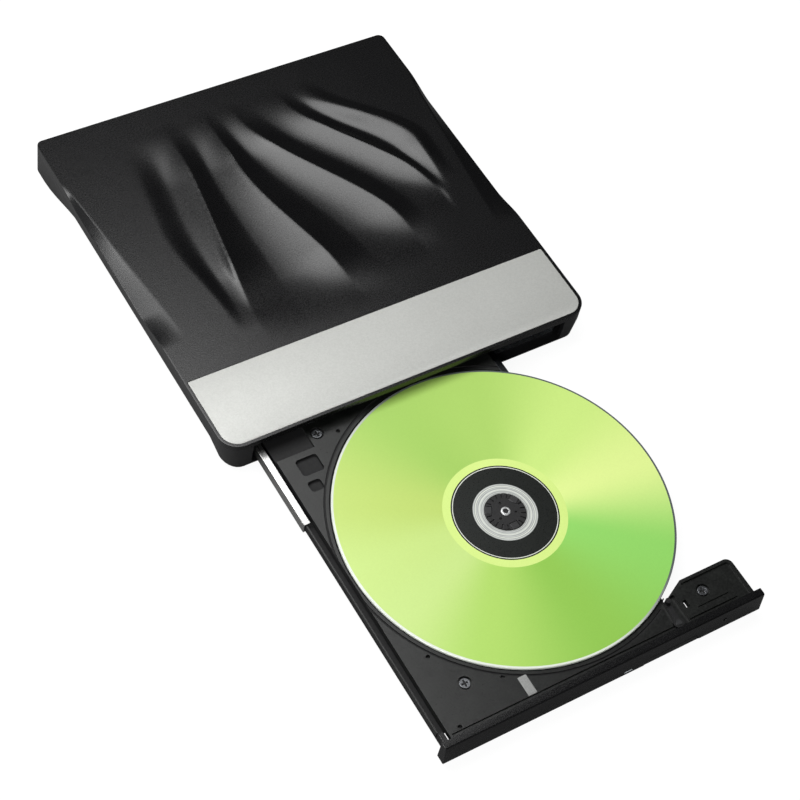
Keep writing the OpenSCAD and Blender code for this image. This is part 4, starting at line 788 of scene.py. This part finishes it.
# Coil: lacquered copper wire, its turns about 0.4 mm apart
coil_wire, tree, shader, where = blank_material("enamelled_copper_wire")
turns = add(tree, "ShaderNodeTexWave",
            {"Vector": where, "Scale": WAVE_WIDTH * per_mm(0.377), "Distortion": 0.4}, bands_direction="X")
colour = add(tree, "ShaderNodeMix", {0: turns.outputs["Fac"], 6: linear("#5a2f18"), 7: linear("#a4623a")},
             data_type="RGBA")
bump = add(tree, "ShaderNodeBump", {"Height": turns.outputs["Fac"], "Strength": 0.6, "Distance": 0.05 * MM})
connect(tree, shader, {"Base Color": colour.outputs[2], "Normal": bump.outputs[0], "Metallic": 0.7,
                       "Roughness": 0.32})

# Lens: glass with a coating that shifts between two blues
lens_coat, tree, shader, where = blank_material("coated_lens_glass")
tint = add(tree, "ShaderNodeTexNoise", {"Vector": where, "Scale": per_mm(3.0)})
colour = add(tree, "ShaderNodeMix", {0: tint.outputs["Fac"], 6: linear("#6f9cc8"), 7: linear("#9fc0e2")},
             data_type="RGBA")
connect(tree, shader, {"Base Color": colour.outputs[2], "Transmission Weight": 0.6, "Roughness": 0.05})

# Light pipe and lamp: a clear moulding and a milky one
lamp_clear = moulded_plastic("clear_acrylic", "#b9c0c4", "#d8dee1", 0.15, 0.6, 0.002)
lamp_epoxy = moulded_plastic("diffused_lamp_epoxy", "#d8d8cc", "#eeeee4", 0.3, 0.4, 0.004)
print("board, cable, coil and lamp finishes made")

# %% [markdown]
# ## The felt strip
# A strip of felt is glued to the tray so that a disc that dips doesn't scrape. It is cut from a soft sheet,
# so its top is slightly crowned, its corners are round and its edges are thinner. A cube cut into a grid is
# pressed down to its edges.

# %% Felt
# Short fibres of 0.15 mm, drawn at 0.3 mm: two stretched noises that cross, with the soft sheen of a cloth
FIBRE_MM, FIBRE_WAYS = 0.3, ((1.0, 0.2, 1.0), (0.2, 1.0, 1.0))
felt, tree, shader, where = blank_material("grey_wool_felt")
fibres = []
for along in FIBRE_WAYS:
    stretched = add(tree, "ShaderNodeMapping", {"Vector": where, "Scale": along}).outputs[0]
    fibre = add(tree, "ShaderNodeTexNoise", {"Vector": stretched, "Scale": per_mm(FIBRE_MM), "Detail": 4.0})
    fibres.append(fibre.outputs["Fac"])
tangle = add(tree, "ShaderNodeMath", {0: fibres[0], 1: fibres[1]}, operation="MAXIMUM").outputs[0]
colour = add(tree, "ShaderNodeMix", {0: tangle, 6: linear("#6c6d6b"), 7: linear("#a4a5a3")}, data_type="RGBA")
bump = add(tree, "ShaderNodeBump", {"Height": tangle, "Strength": 0.8, "Distance": 0.08 * MM})
connect(tree, shader, {"Base Color": colour.outputs[2], "Normal": bump.outputs[0], "Roughness": 0.95,
                       "Sheen Weight": 0.4})
print("felt with fibres", FIBRE_MM, "mm wide")

# %% Felt strip
pad_low, pad_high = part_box("tray_pad")
middle, half = (pad_low + pad_high) / 2, (pad_high - pad_low) / 2
EDGE_POWER, CORNER_PULL, EDGE_SHARE, FELT_CUTS = 6, 0.02, 0.4, 15
bm = bmesh.new()
bmesh.ops.create_cube(bm, size=2.0)
bmesh.ops.subdivide_edges(bm, edges=bm.edges[:], cuts=FELT_CUTS, use_grid_fill=True)
for v in bm.verts:
    away = abs(v.co.x * v.co.y) ** EDGE_POWER
    crown = (1 - abs(v.co.x) ** EDGE_POWER) * (1 - abs(v.co.y) ** EDGE_POWER)
    height = (v.co.z + 1) * (EDGE_SHARE + (1 - EDGE_SHARE) * crown) - 1
    draw_in = 1 - CORNER_PULL * away
    v.co = middle + Vector((half.x * v.co.x * draw_in, half.y * v.co.y * draw_in, half.z * height))
bmesh.ops.recalc_face_normals(bm, faces=bm.faces)
shade(bm, 50)
pad = place(bm, "felt_strip", [felt], body_of["tray_pad"], slot_of["tray_pad"], "tray_pad")
print("felt strip", [round(2 * h / MM, 2) for h in half], "mm")

# %% [markdown]
# ## Finishes on the solids that stay
# The parts under the tray and inside the case are hardly seen, so they keep their solids and take the
# finishes made above.

# %% Dress the solids
DRESS = {
    board_mask: ("front_board", "tray_board", "rear_board", "bridge_board"),
    epoxy: ("board_chips", "bridge_chips", "bridge_socket", "drive_connector"),
    sheet_zinc: ("chassis_lower", "chassis_upper", "deck_plate", "eject_switch"),
    screw_steel: ("case_screws", "drive_screws", "cover_screws", "deck_screws"),
    rubber: ("rubber_feet", "deck_dampers"),
    acetal: ("left_guide", "right_guide"),
    rail_steel: ("usb_socket",),
    chrome: ("guide_rods", "lead_screw", "latch_pivot"),
    motor_alloy: ("spindle_motor", "sled_motor"),
    sled_zinc: ("pickup_sled",),
    coil_wire: ("latch_solenoid",),
    lens_coat: ("objective_lens",),
    lamp_clear: ("light_pipe",),
    lamp_epoxy: ("status_led",),
}
for material, names in DRESS.items():
    for name in names:
        mesh = frame["nodes"][name].data
        mesh.materials.clear()
        mesh.materials.append(material)
print("dressed", sum(len(n) for n in DRESS.values()), "solids")

# %% [markdown]
# ## The flat cable
# The cable is fixed to the rear board at one end and to the tray at the other, so in the drive it follows the
# tray. Here a copy of the solid is cut into many short lengths, and it rides on no body.

# %% Flat cable
CABLE_CUTS, HELD = 40, 0.004
flex_low, flex_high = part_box("flex_cable")
bm = bmesh.new()
bm.from_mesh(frame["nodes"]["flex_cable"].data)
bmesh.ops.remove_doubles(bm, verts=bm.verts, dist=TINY)
for i in range(1, CABLE_CUTS):
    at = Vector((0, flex_low.y + (flex_high.y - flex_low.y) * i / CABLE_CUTS, 0))
    bmesh.ops.bisect_plane(bm, geom=bm.verts[:] + bm.edges[:] + bm.faces[:], plane_co=at, plane_no=(0, 1, 0))
shade(bm, 40)
cable = place(bm, "flat_cable", [flex_film], None, "flex_white", "flex_cable")
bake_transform(cable)
